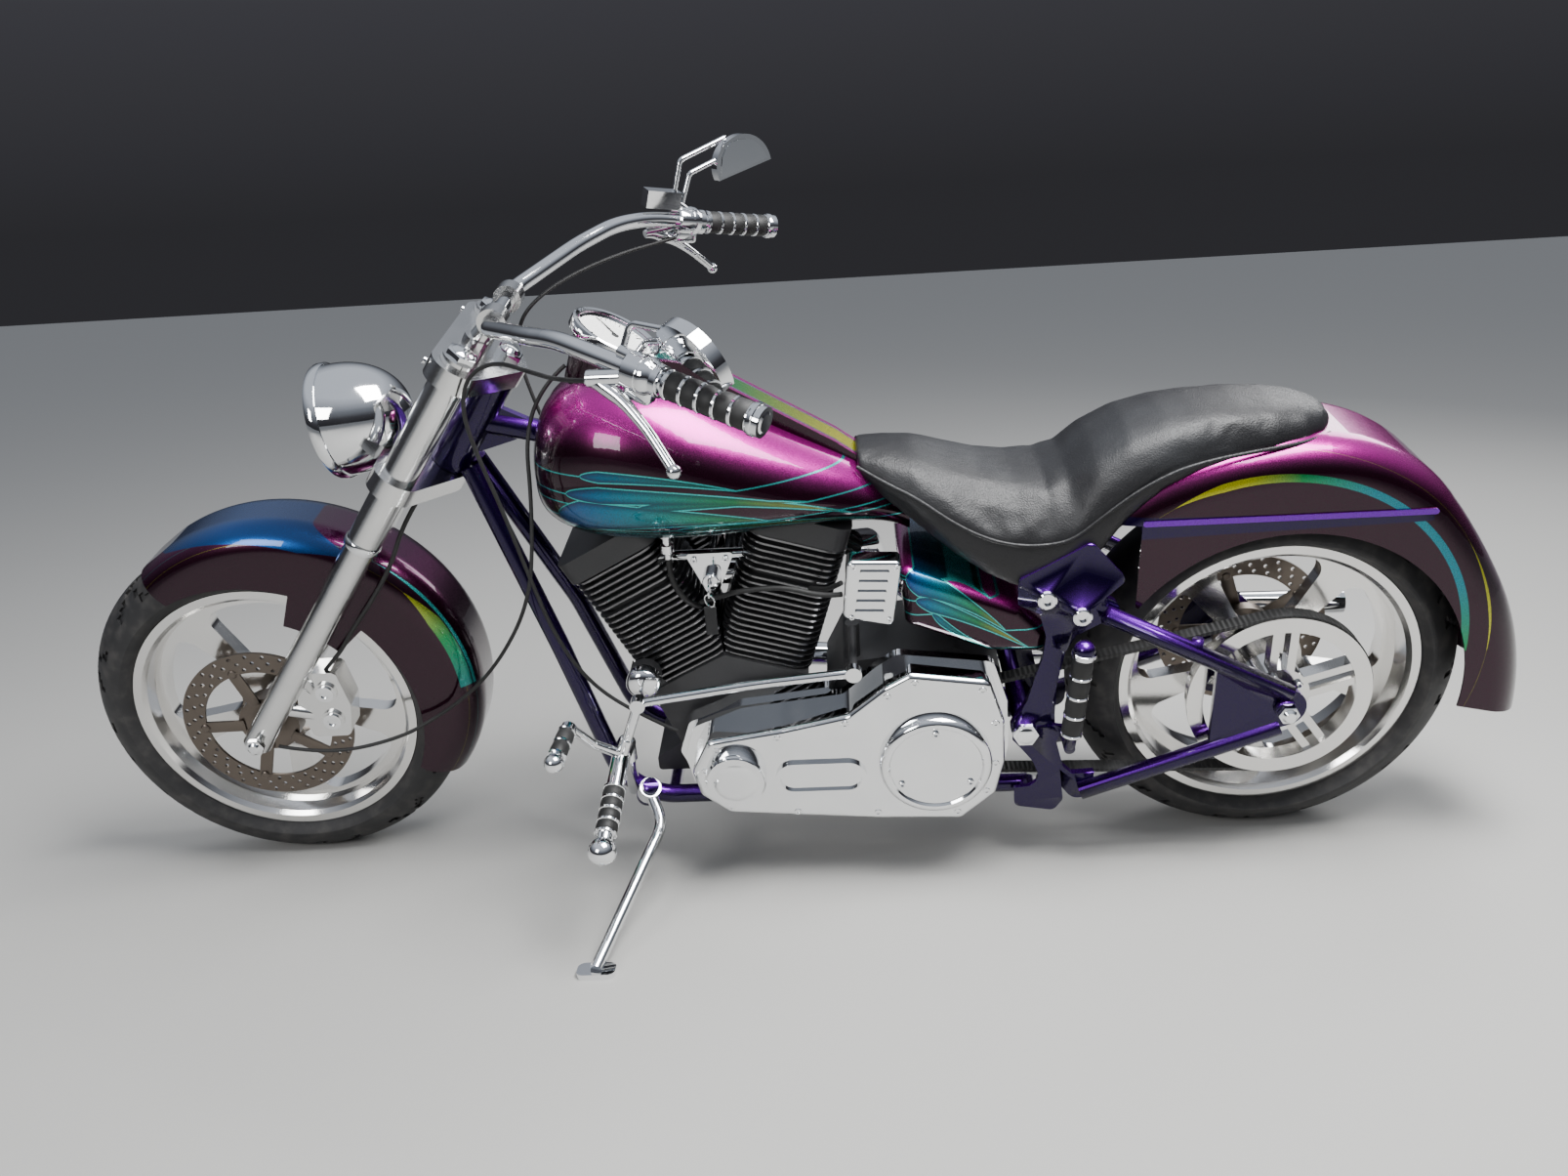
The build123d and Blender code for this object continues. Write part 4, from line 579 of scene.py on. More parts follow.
def arc_nodes(tree, x, z, centre_x, centre_z, radius, low, high, half):
    """1 on an arc in side view, 0 off it; the degrees are counted from ahead, upwards and back."""
    across = x - centre_x
    up = z - centre_z
    reach = (across * across + up * up).math("SQRT")
    angle = up.math("ARCTAN2", across) * (180 / math.pi)
    inside = (angle - low).least(angle * -1.0 + high)
    taper = (inside / 14.0).held()
    return [(taper * half - (reach - radius).size()).rise(-0.4, 0.4), angle]


def buffed_nodes(tree, tint, rough, stretch):
    """Polished metal with fine marks of the buffing wheel."""
    marks = noise(tree, 260.0, 3.0, stretch)
    cloud = noise(tree, 9.0, 3.0)
    return [mix(tree, cloud * 0.18 + 0.82, (0.0, 0.0, 0.0), tint), marks * 0.08 + cloud * 0.06 + rough, marks]


def crinkle_nodes(tree):
    """Black crinkle paint."""
    grain = noise(tree, 650.0, 3.0)
    return [mix(tree, grain, (0.010, 0.010, 0.011), (0.032, 0.032, 0.034)), grain * 0.2 + 0.42, grain]


def dusty_nodes(tree, colour, dust, scale):
    """Matt rubber, dusty in random patches."""
    cloud = noise(tree, scale, 4.0)
    return [mix(tree, cloud.rise(0.38, 0.82), colour, dust), cloud * 0.22 + 0.5]


LOOKS = [("Colour", COLOUR), ("Roughness", NUMBER)]
CANDY = effect("Candy lacquer", [("Deep", COLOUR), ("Light", COLOUR)], LOOKS, candy_nodes)
FLAME = effect(
    "Flame", numbers("X", "Z", "Root X", "Root Z", "Tip X", "Tip Z", "Half width", "Bow"),
    numbers("Inside"), flame_nodes,
)
ARC = effect(
    "Arc line", numbers("X", "Z", "Centre X", "Centre Z", "Radius", "From", "To", "Half width"),
    numbers("Mask", "Angle"), arc_nodes,
)
BUFFED = effect(
    "Buffed metal", [("Tint", COLOUR), ("Roughness", NUMBER), ("Stretch", VECTOR)],
    LOOKS + numbers("Relief"), buffed_nodes,
)
CRINKLED = effect("Crinkle paint", [], LOOKS + numbers("Relief"), crinkle_nodes)
DUSTY = effect("Dusty rubber", [("Colour", COLOUR), ("Dust", COLOUR), ("Scale", NUMBER)], LOOKS, dusty_nodes)


# %% Lacquer with painted flames and lines
MAROON = (0.018, 0.0004, 0.009)
# Painted highlight colour that the maroon lacquer's upward faces take.
MAGENTA_HIGHLIGHT = (0.36, 0.002, 0.22)
DEEP_PURPLE = (0.007, 0.0006, 0.034)
# Painted highlight colour that the purple lacquer's upward faces take, also used for the highlight line on the rear
# fender's struts.
PURPLE_HIGHLIGHT = (0.12, 0.002, 0.34)
BLUE = (0.002, 0.055, 0.26)
TEAL = (0.0, 0.17, 0.22)
DEEP_BLUE = (0.001, 0.022, 0.09)
GREEN = (0.003, 0.22, 0.055)
YELLOW = (0.46, 0.46, 0.012)
LINE = (0.02, 0.42, 0.40)
# Painted highlight colour along the front fender's crown.
CROWN_BLUE_HIGHLIGHT = (0.001, 0.05, 0.20)
# Painted highlight colour that the front fender lacquer's upward faces take.
FENDER_HIGHLIGHT = (0.07, 0.0006, 0.045)
REAR_ARC_CENTRE = (35, 395)
FRONT_ARC_CENTRE = (1650, 367)
TANK_FLAMES = [
    # root x and z, tip x and z, half width, bow
    (1132, 700, 806, 684, 33, 14),
    (1112, 742, 676, 674, 15, 26),
    (1084, 774, 850, 744, 10, 10),
    (1080, 664, 736, 656, 13, -2),
    (1000, 726, 744, 708, 9, 8),
    (946, 678, 640, 656, 8, 8),
]
OIL_FLAMES = [
    (600, 575, 445, 480, 24, 14),
    (585, 540, 408, 446, 15, 8),
    (560, 580, 470, 535, 9, 8),
    (560, 515, 470, 446, 9, -6),
]


def flames(tree, x, z, table):
    """How far a point lies inside the nearest flame, in millimetres, below 0 outside."""
    best = None
    for flame in table:
        inside = placed(FLAME, tree, x, z, *flame)[0]
        best = inside if best is None else best.most(inside)
    return best


def flame_paint_nodes(tree, inside, tone, base):
    """Flames that fade from blue to yellow at their tips, dark along the edge and outlined with a fine line."""
    fill = ramp(tree, tone, [(0.0, BLUE), (0.3, TEAL), (0.62, GREEN), (0.92, YELLOW)])
    dark = mix(tree, inside.rise(0.0, 14.0) * 0.75 + 0.25, (0.0, 0.004, 0.03), fill)
    painted = mix(tree, inside.rise(-0.5, 0.5), base, dark)
    return [mix(tree, (inside.size() * -1.0 + 1.4).rise(0.0, 0.7), painted, LINE)]


FLAME_PAINT = effect(
    "Flame paint", numbers("Inside", "Tone") + [("Base", COLOUR)], [("Colour", COLOUR)], flame_paint_nodes
)


def lacquer(name, matrix, art, deep=MAROON, light=MAGENTA_HIGHLIGHT):
    """Metallic candy lacquer under a clear coat, with a painted highlight towards the tops and artwork from a function
    of the tree and place.
    """
    material, tree, shader = new_material(name)
    base, rough = placed(CANDY, tree, deep, light)
    fill(tree, shader, {
        "Base Color": art(tree, *place_fields(tree, matrix), base), "Roughness": rough, "Metallic": 0.86,
        "Coat Weight": 1.0, "Coat Roughness": 0.02, "Coat IOR": 1.36,
    })
    return material


def flame_art(table, front, back):
    """Artwork function: flames that fade from blue ahead to yellow at their tips, edged with a fine line."""

    def art(tree, x, y, z, base):
        tone = ((x * -1.0 + front) / (front - back)).held()
        return placed(FLAME_PAINT, tree, flames(tree, x, z, table), tone, base)[0]

    return art


def rear_fender_art(tree, x, y, z, base):
    """A tapering line under the crown and down the tail, a short one behind it, a deep purple band on each side, and a
    painted highlight line along the top of each side strut.
    """
    arc, angle = placed(ARC, tree, x, z, *REAR_ARC_CENTRE, 314, 60, 200, 6.0)
    tone = ((angle - 60.0) / 140.0).held()
    colour = ramp(tree, tone, [
        (0.0, YELLOW), (0.14, YELLOW), (0.25, GREEN), (0.4, TEAL), (0.7, TEAL), (0.86, GREEN), (1.0, YELLOW),
    ])
    painted = mix(tree, arc, base, colour)
    second, _ = placed(ARC, tree, x, z, *REAR_ARC_CENTRE, 352, 148, 182, 2.4)
    painted = mix(tree, second, painted, YELLOW)
    depth = (x + 200.0) / 470.0 * 11.0 + 8.0
    band = ((z - 636.0).size() * -1.0 + depth).rise(0.0, 1.0)
    band = band * (x * -1.0 + 268.0).rise(0.0, 2.0) * (x + 198.0).rise(0.0, 2.0)
    painted = mix(tree, band * y.size().rise(110.0, 112.0), painted, DEEP_PURPLE)
    # Painted highlight: a bright purple line along the top of each side strut.
    strut_highlight = y.size().rise(124.2, 124.6) * (z - 645.0).size().math("LESS_THAN", 7.0)
    return mix(tree, strut_highlight, painted, PURPLE_HIGHLIGHT)


def front_fender_art(tree, x, y, z, base):
    """A yellow to blue band above the rear edge with a fine line over it, and a painted blue highlight along the
    crown.
    """
    band, angle = placed(ARC, tree, x, z, *FRONT_ARC_CENTRE, 296, 140, 222, 9.0)
    tone = ((angle - 140.0) / 80.0).held()
    colour = ramp(tree, tone, [(0.0, YELLOW), (0.25, GREEN), (0.6, TEAL), (1.0, BLUE)])
    painted = mix(tree, band, base, colour)
    line, _ = placed(ARC, tree, x, z, *FRONT_ARC_CENTRE, 308, 128, 222, 1.6)
    painted = mix(tree, line, painted, LINE)
    # Painted highlight: a blue band along the crown, brightest in its middle.
    crown, sweep = placed(ARC, tree, x, z, 1690, 330, 352, 56, 124, 19.0)
    tone = ((sweep - 52.0) / 76.0).held()
    crown_highlight = ramp(tree, tone, [(0.0, DEEP_BLUE), (0.5, CROWN_BLUE_HIGHLIGHT), (1.0, DEEP_BLUE)])
    return mix(tree, crown, painted, crown_highlight)


def dash_art(tree, x, y, z, base):
    """A stripe along the dash that fades from teal through green to yellow, between maroon borders."""
    tone = (x * -1.0 + 1020.0) / 360.0
    colour = ramp(tree, tone.held(), [(0.0, TEAL), (0.45, GREEN), (0.9, YELLOW)])
    behind_dial = (x * -1.0 + 985.0).rise(0.0, 1.0)
    middle = (y.size() * -1.0 + 21.0).rise(0.0, 0.8)
    painted = mix(tree, middle * behind_dial, base, colour)
    edge = ((y.size() - 23.0).size() * -1.0 + 1.2).rise(0.0, 0.6)
    return mix(tree, edge * behind_dial, painted, LINE)


def plain_art(tree, x, y, z, base):
    """No artwork."""
    return base


# %% [markdown]
# ### Metals, crinkle paint, rubber, leather and glass
# Chrome is a mirror with faint smudges, and alloy shows the marks of the buffing wheel. The cylinders are
# crinkle-painted and their fins' edges machined bright. Rubber is matt and dusty, and the leather has a grain.

# %% Crinkle paint
CRANK = Vector((0.887, 0.0, 0.256))
FIN_HALF_LENGTH = 83.0
FIN_HALF_WIDTH = 78.0
FIN_CORNER = 34.0
FIN_SHIFT = 5.0
FINS_TOP = 384.0


def crinkle(name, tilt=None):
    """Black crinkle paint; on a tilted cylinder the outer edges of its fins are machined bright."""
    material, tree, shader = new_material(name)
    colour, rough, grain = placed(CRINKLED, tree)
    if tilt is not None:
        upright = LEANED @ Matrix.Translation(CRANK) @ Matrix.Rotation(math.radians(tilt), 4, "Y")
        x, y, z = place_fields(tree, upright)
        shift = math.copysign(FIN_SHIFT, tilt)
        dx = ((x - shift).size() - (FIN_HALF_LENGTH - FIN_CORNER)).most(0.0)
        dy = (y.size() - (FIN_HALF_WIDTH - FIN_CORNER)).most(0.0)
        rim = (dx * dx + dy * dy).math("SQRT").rise(FIN_CORNER - 0.9, FIN_CORNER - 0.5)
        metal = rim * z.math("LESS_THAN", FINS_TOP)
        colour = mix(tree, metal, colour, (0.17, 0.17, 0.175))
        rough = rough * metal.flipped() + metal * 0.2
        feed(tree, shader.inputs["Metallic"], metal)
    fill(tree, shader, {"Base Color": colour, "Roughness": rough})
    bump(tree, shader, grain, 0.0002)
    return material


# %% Chrome, alloy and plain finishes
def chrome():
    """Mirror chrome with faint smudges."""
    material, tree, shader = new_material("mirror_chrome")
    smudge = noise(tree, 14.0, 4.0)
    fill(tree, shader, {
        "Base Color": mix(tree, smudge, (0.78, 0.79, 0.80), (0.90, 0.91, 0.92)),
        "Roughness": smudge.rise(0.45, 0.75) * 0.07 + 0.035, "Metallic": 1.0,
    })
    return material


def polished(name, tint, rough, stretch):
    """Polished alloy with fine marks of the buffing wheel."""
    material, tree, shader = new_material(name)
    colour, roughness, marks = placed(BUFFED, tree, tint, rough, stretch)
    fill(tree, shader, {"Base Color": colour, "Roughness": roughness, "Metallic": 1.0})
    bump(tree, shader, marks, 0.00006)
    return material


def two_tone(name, scale, under, over, rough=0.5, metal=0.0):
    """Plain paint or silver that varies a little."""
    material, tree, shader = new_material(name)
    colour = mix(tree, noise(tree, scale), under, over)
    fill(tree, shader, {"Base Color": colour, "Roughness": rough, "Metallic": metal})
    return material


# %% Rubber, leather and glass
def waves(field, pitch):
    """Smooth waves from 0 to 1 along a field."""
    return (field * (2 * math.pi / pitch)).math("SINE") * 0.5 + 0.5


def rubber(name, colour, dust, scale, ribs=None):
    """Matt rubber, dusty in random patches; ribs gives the pitch of a belt's teeth in millimetres."""
    material, tree, shader = new_material(name)
    tint, rough = placed(DUSTY, tree, colour, dust, scale)
    fill(tree, shader, {"Base Color": tint, "Roughness": rough})
    if ribs:
        x, _, _ = place_fields(tree, LEANED)
        bump(tree, shader, waves(x, ribs), 0.0012)
    else:
        bump(tree, shader, noise(tree, 1100.0), 0.0001)
    return material


def leather():
    """Soft black leather: pebbled grain, fine wrinkles and a worn sheen."""
    material, tree, shader = new_material("seat_leather")
    cells = added(tree, "TexVoronoi", {"Scale": 420.0, "Vector": own_space(tree)})
    pebble = Field(tree, cells.outputs["Distance"])
    wrinkle = noise(tree, 26.0, 6.0, (1.0, 1.6, 1.0))
    worn = noise(tree, 5.0, 3.0)
    fill(tree, shader, {
        "Base Color": mix(tree, worn.rise(0.35, 0.8), (0.004, 0.004, 0.005), (0.014, 0.015, 0.017)),
        "Roughness": pebble * 0.22 + worn * 0.14 + 0.30, "Specular IOR Level": 0.42,
    })
    bump(tree, shader, pebble * 0.25 + wrinkle, 0.0012)
    return material


def lamp_glass():
    """Clear lamp glass with soft vertical fluting."""
    material, tree, shader = new_material("fluted_glass")
    fill(tree, shader, {
        "Base Color": (0.96, 0.98, 1.0), "Roughness": 0.02, "IOR": 1.45, "Transmission Weight": 1.0,
    })
    _, y, _ = place_fields(tree, LEANED)
    bump(tree, shader, waves(y, 9.0), 0.0006)
    return material


# %% Finishes of the solids
WHEEL_ALLOY = polished("wheel_alloy", (0.84, 0.83, 0.81), 0.05, (1, 4, 1))
MATERIALS = {
    "fuel_tank": lacquer("tank_lacquer", LEANED, flame_art(TANK_FLAMES, 1140.0, 680.0)),
    "oil_tank": lacquer("oil_tank_lacquer", LEANED, flame_art(OIL_FLAMES, 600.0, 420.0)),
    "rear_fender": lacquer("rear_fender_lacquer", LEANED, rear_fender_art),
    "front_fender": lacquer("front_fender_lacquer", STEERED, front_fender_art, MAROON, FENDER_HIGHLIGHT),
    "dash_console": lacquer("dash_lacquer", LEANED, dash_art),
    "cylinder_front": crinkle("front_cylinder_paint", 27.5),
    "cylinder_rear": crinkle("rear_cylinder_paint", -17.5),
    "drive_belt": rubber("belt_rubber", (0.012, 0.012, 0.012), (0.038, 0.038, 0.038), 22.0, 8.0),
    "rear_rim": WHEEL_ALLOY,
    "front_rim": WHEEL_ALLOY,
    "rear_pulley": WHEEL_ALLOY,
}
SLOT_MATERIALS = {
    "maroon_paint": lacquer("maroon_lacquer", LEANED, plain_art),
    # Purple lacquer with a painted highlight on its upward faces.
    "purple_paint": lacquer("purple_lacquer", LEANED, plain_art, DEEP_PURPLE, PURPLE_HIGHLIGHT),
    "chrome": chrome(),
    "polished_alloy": polished("fork_alloy", (0.80, 0.80, 0.79), 0.10, (1, 1, 1)),
    "black_alloy": crinkle("black_crinkle"),
    "disc_steel": polished("disc_face_steel", (0.16, 0.135, 0.115), 0.24, (6, 1, 6)),
    "tyre": rubber("tyre_rubber", (0.012, 0.012, 0.013), (0.045, 0.042, 0.040), 40.0),
    "black_rubber": rubber("grip_rubber", (0.004, 0.004, 0.004), (0.014, 0.014, 0.014), 22.0),
    "black_leather": leather(),
    "lamp_glass": lamp_glass(),
}
for part in frame["record"]["subparts"]:
    node = NODES[part["node"]]
    node.data.materials.clear()
    node.data.materials.append(MATERIALS.get(part["node"], SLOT_MATERIALS[part["material_slot"]]))
for cable in cables:
    cable.data.materials.append(SLOT_MATERIALS["black_rubber"])
print(len(MATERIALS) + len(SLOT_MATERIALS), "finishes on", len(frame["record"]["subparts"]), "solids")

# %% [markdown]
# ## Modelling
# A piece is shaped upright, in metres, and parked at the end. These helpers do the steps that most pieces share.


# %% Start and finish
FRAME = (LEANED, "frame")
FORK = (STEERED, "steering")
SIDES = ((-1, "right"), (1, "left"))
LEFT = (0, 1, 0)
RIGHT = (0, -1, 0)
UP = (0, 0, 1)
DOWN = (0, 0, -1)
ORIGIN = (0, 0, 0)
ABOUT_AXLE = Matrix.Rotation(-math.pi / 2, 4, "X")


def only(obj):
    """Select one object alone and make it active."""
    bpy.ops.object.select_all(action="DESELECT")
    obj.select_set(True)
    bpy.context.view_layer.objects.active = obj


@contextmanager
def editing(obj):
    """Edit mode on one object alone, with everything selected to begin with."""
    only(obj)
    bpy.ops.object.mode_set(mode="EDIT")
    bpy.ops.mesh.select_all(action="SELECT")
    yield
    bpy.ops.object.mode_set(mode="OBJECT")


def outward():
    """Turn every face of the mesh in edit mode outwards."""
    bpy.ops.mesh.select_all(action="SELECT")
    bpy.ops.mesh.normals_make_consistent(inside=False)


def smooth_under(degrees):
    """Shade the selected piece smooth, except at edges sharper than this."""
    bpy.ops.object.shade_smooth_by_angle(angle=math.radians(degrees))


def dressed(obj, body, slot, material=None):
    """Give a piece its material and slot and let it ride its body."""
    obj.data.materials.clear()
    obj.data.materials.append(material or SLOT_MATERIALS[slot])
    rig.ride(obj, body)
    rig.slot(obj, slot)
    print(obj.name, "rides", body, "and has", len(obj.data.polygons), "faces")


def parked(obj, name, matrix=LEANED, body="frame", slot="chrome", material=None):
    """Name a finished upright piece, park its mesh and dress it."""
    only(obj)
    bpy.ops.object.transform_apply(location=True, rotation=True, scale=True)
    obj.name = name
    obj.data.name = name
    obj.data.transform(matrix)
    dressed(obj, body, slot, material)


# %% [markdown]
# ### Turned pieces
# Much of the machine was turned on a lathe. A closed profile of radii and distances is spun about its axis, its
# seam is merged, and the piece is carried to its place and turned to face its way.


# %% Turned pieces
def meshed(name, spots, edges=(), faces=()):
    """Object from places, edges and faces."""
    mesh = bpy.data.meshes.new(name)
    mesh.from_pydata(spots, edges, faces)
    return linked(name, mesh)


def closed(first, count):
    """Edges of a closed ring of vertices."""
    return [(first + i, first + (i + 1) % count) for i in range(count)]


def toward(direction):
    """Matrix that turns Z to a direction."""
    return Vector(direction).to_track_quat("Z", "Y").to_matrix().to_4x4()


def lathe(profile, origin=ORIGIN, direction=UP, steps=48):
    """Closed turned piece: (radius, distance) points in millimetres, spun about a direction from the origin."""
    obj = meshed("turned", [(r * MM, 0.0, d * MM) for r, d in profile], closed(0, len(profile)))
    with editing(obj):
        bpy.ops.mesh.spin(steps=steps, angle=2 * math.pi, center=ORIGIN, axis=UP)
        bpy.ops.mesh.select_all(action="SELECT")
        bpy.ops.mesh.remove_doubles(threshold=0.00002)
        bpy.ops.mesh.normals_make_consistent(inside=False)
    obj.data.transform(Matrix.Translation(Vector(origin)) @ toward(direction))
    smooth_under(32)
    return obj


# %% [markdown]
# ### Tyres
# Each tyre is one round profile spun about its axle. Faces of the crown are then chosen by their place in the
# pattern and pushed in, which leaves slanting grooves as a road tyre has.

# %% Tyres
TYRE_STEPS = 168
CROWN_STEPS = 22
BEAD_R = 0.2465
GROOVE_DEPTH = 0.0042
GROOVE_PITCH = 14


def tyre(name, centre, outer, half, crown, rim_half, matrix, body, slant):
    """Tyre with slanting grooves on its crown, which stands for the plain one; lengths in metres."""
    edge_y = half * 0.97
    edge_r = outer - crown + math.sqrt(crown**2 - edge_y**2)
    angles = [-math.asin(edge_y / crown) * (1 - 2 * i / CROWN_STEPS) for i in range(CROWN_STEPS + 1)]
    top = [(outer - crown + crown * math.cos(angle), crown * math.sin(angle)) for angle in angles]
    tall = edge_r - BEAD_R
    side = [
        (edge_r - 0.22 * tall, half * 0.995), (edge_r - 0.45 * tall, half),
        (edge_r - 0.78 * tall, (half + rim_half) / 2 + 0.002), (BEAD_R, rim_half),
        (BEAD_R, rim_half - 0.0045), (BEAD_R - 0.004, rim_half - 0.006),
    ]
    ring = [(r, -y) for r, y in side[::-1]] + top + side
    obj = lathe([(r / MM, y / MM) for r, y in ring], steps=TYRE_STEPS)
    with editing(obj):
        bpy.ops.mesh.select_all(action="DESELECT")
    for polygon in obj.data.polygons:
        spot = polygon.center
        reach = math.hypot(spot.x, spot.y)
        if abs(spot.z) > edge_y * 0.9 or reach < edge_r - 0.004:
            continue
        step = math.degrees(math.atan2(spot.y, spot.x)) / (360 / TYRE_STEPS)
        row = abs(spot.z) / (edge_y * 0.9)
        phase = (step - slant * row) % GROOVE_PITCH
        cross = (step + GROOVE_PITCH / 2 + slant * row) % GROOVE_PITCH
        polygon.select = phase < 1.4 and row > 0.12 or cross < 1.2 and row > 0.55
    bpy.ops.object.mode_set(mode="EDIT")
    bpy.ops.mesh.select_mode(type="FACE")
    bpy.ops.mesh.extrude_region_shrink_fatten(TRANSFORM_OT_shrink_fatten={"value": -GROOVE_DEPTH})
    bpy.ops.object.mode_set(mode="OBJECT")
    obj.data.transform(Matrix.Translation(centre) @ ABOUT_AXLE)
    smooth_under(38)
    parked(obj, name + "_treaded", matrix, body, "tyre")
    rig.replaces(obj, name)


tyre("rear_tyre", REAR_AXLE, 0.324, 0.092, 0.098, 0.072, LEANED, "rear_wheel", 9)
tyre("front_tyre", FRONT_AXLE, 0.320, 0.065, 0.067, 0.050, STEERED, "front_wheel", 7)

# %% [markdown]
# ### Brake discs
# The rotor is a flat ring with three rows of small holes cut through it. It is fixed by five arms to a carrier.

# %% Boxes, cuts and rings of places
def modified(obj, kind, **settings):
    """Add a modifier with these settings and apply it."""
    only(obj)
    modifier = obj.modifiers.new(kind.lower(), kind)
    for label, value in settings.items():
        setattr(modifier, label, value)
    bpy.ops.object.modifier_apply(modifier=modifier.name)


def cut_out(obj, cutter):
    """Cut the second object out of the first and use it up."""
    modified(obj, "BOOLEAN", object=cutter, solver="EXACT")
    bpy.data.objects.remove(cutter)


def box(size, location=ORIGIN, turn=0.0):
    """Box to make a piece from, turned about Z."""
    bpy.ops.object.select_all(action="DESELECT")
    bpy.ops.mesh.primitive_cube_add(size=1, location=location)
    obj = bpy.context.object
    obj.scale = size
    obj.rotation_euler = (0, 0, turn)
    bpy.ops.object.transform_apply(location=True, rotation=True, scale=True)
    return obj


def joined(objects):
    """One object from several."""
    bpy.ops.object.select_all(action="DESELECT")
    for obj in objects:
        obj.select_set(True)
    bpy.context.view_layer.objects.active = objects[0]
    bpy.ops.object.join()
    return objects[0]


def circle(count, reach, first=0.0):
    """Places round a circle, the first at so many degrees."""
    angles = [math.radians(first + 360 / count * i) for i in range(count)]
    return [(reach * math.cos(angle), reach * math.sin(angle)) for angle in angles]


# %% Brake discs
DISC_RING = [(108, -2.5), (146, -2.5), (146, 2.5), (108, 2.5)]
HOLE_ROWS = (115.0, 127.0, 139.0)
HOLES_ROUND = 30
HOLE_RADIUS = 0.0036
ARM_SIZE = (0.074, 0.022, 0.0044)
ARM_BOLT = [(0, -5), (6, -5), (7.5, -3.5), (7.5, 3.5), (6, 5), (0, 5)]
ARMS = 5


def drilled_disc(name, centre, y, to_hub, matrix, body):
    """Drilled rotor with its carrier, arms and bolts, which stands for the plain disc."""
    ring = lathe(DISC_RING, steps=120)
    drills = []
    for row, reach in enumerate(HOLE_ROWS):
        for spot in circle(HOLES_ROUND, reach * MM, row / len(HOLE_ROWS) * 360 / HOLES_ROUND):
            bpy.ops.object.select_all(action="DESELECT")
            bpy.ops.mesh.primitive_cylinder_add(vertices=12, radius=HOLE_RADIUS, depth=0.02, location=(*spot, 0))
            drills.append(bpy.context.object)
    cut_out(ring, joined(drills))
    pieces = [ring]
    for i, (middle, end) in enumerate(zip(circle(ARMS, 0.079), circle(ARMS, 0.112))):
        arm = box(ARM_SIZE, (*middle, 0), math.radians(360 / ARMS * i))
        with editing(arm):
            bpy.ops.mesh.bevel(offset=0.0012, segments=2)
        pieces += [arm, lathe(ARM_BOLT, (*end, 0), UP, 20)]
    near, far = sorted((-2.6, to_hub))
    pieces.append(lathe([
        (10.5, near), (46, near), (52, min(0.0, to_hub)), (52, max(0.0, to_hub)), (46, far), (10.5, far),
    ]))
    disc = joined(pieces)
    disc.data.transform(Matrix.Translation(centre + Vector((0, y * MM, 0))) @ ABOUT_AXLE)
    only(disc)
    smooth_under(30)
    parked(disc, name + "_drilled", matrix, body, "disc_steel")
    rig.replaces(disc, name)


drilled_disc("front_disc", FRONT_AXLE, 84.0, -33.5, STEERED, "front_wheel")
drilled_disc("rear_disc", REAR_AXLE, -94.0, 21.5, LEANED, "rear_wheel")

# %% [markdown]
# ### Frame plates and arm heads
# The side plates of the frame are slender and curved, and the heads of the swing arm hide behind them. Both are
# cut to that line in a copy of the plain solids.

# %% Frame plates and arm heads
PLATE_FRONT_CUT = [
    (429, 530), (394, 512), (383, 470), (387, 433), (399, 392), (409, 352), (419, 330), (430, 312), (432, 276),
    (416, 256), (398, 232), (388, 206), (390, 190), (402, 180), (440, 176), (470, 180), (470, 530),
]
ARM_HEAD_CUT = [
    (250, 200), (330, 196), (346, 212), (360, 270), (363, 320), (361, 385), (352, 432), (334, 466), (296, 486),
    (250, 462),
]


def trimmed(node, name, outline, low, high, side):
    """Copy of a solid with a prism cut out of it, from y low to high on its side."""
    piece = linked(name, NODES[node].data.copy())
    piece.matrix_world = NODES[node].matrix_world.copy()
    spots = [Vector((x, side * low, z)) * MM for x, z in outline]
    cutter = meshed("cutter", spots, faces=[range(len(spots))])
    with editing(cutter):
        bpy.ops.mesh.extrude_region_move(TRANSFORM_OT_translate={"value": (0, side * (high - low) * MM, 0)})
        outward()
    cutter.data.transform(LEANED)
    cut_out(piece, cutter)
    bpy.ops.object.transform_apply(location=True, rotation=True, scale=True)
    smooth_under(30)
    dressed(piece, "frame", "purple_paint")
    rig.replaces(piece, node)


for side, word in SIDES[::-1]:
    trimmed("frame_rail_" + word, "side_plate_" + word, PLATE_FRONT_CUT, 144, 160, side)
    trimmed("swing_arm_" + word, "arm_" + word, ARM_HEAD_CUT, 128, 150, side)

# %% [markdown]
# ### Seat
# The seat is one stuffed leather piece. Sections across it, from the tank to the tail, are bridged into one
# closed form with skirts that hang over the frame plates. It is remeshed finely and inflated, so that it swells
# between its edges as foam under leather does, and its underside is laid on the fender. The piping comes last.

# %% Seat
SEAT_CELL = 0.005
SEAT_SWELL = 0.007
SEAT_PAD = 46.0
FENDER_REACH = 0.262
PIPING_RADIUS = 3.2
SEAT_ROWS = [
    # x, half width, height of the top, of the welt and of the skirt's edge
    (668, 60, 760, 735, 702), (625, 84, 753, 715, 670), (580, 104, 743, 698, 636), (530, 124, 726, 665, 598),
    (480, 137, 712, 640, 568), (430, 145, 704, 628, 548), (380, 147, 703, 628, 542), (345, 146, 714, 636, 546),
    (305, 138, 746, 665, 587), (255, 126, 774, 698, 644), (200, 118, 788, 725, 687), (150, 112, 794, 738, 710),
    (90, 106, 797, 746, 724), (35, 98, 796, 750, 730), (-15, 84, 790, 752, 734), (-46, 62, 781, 754, 740),
    (-62, 34, 771, 757, 747),
]


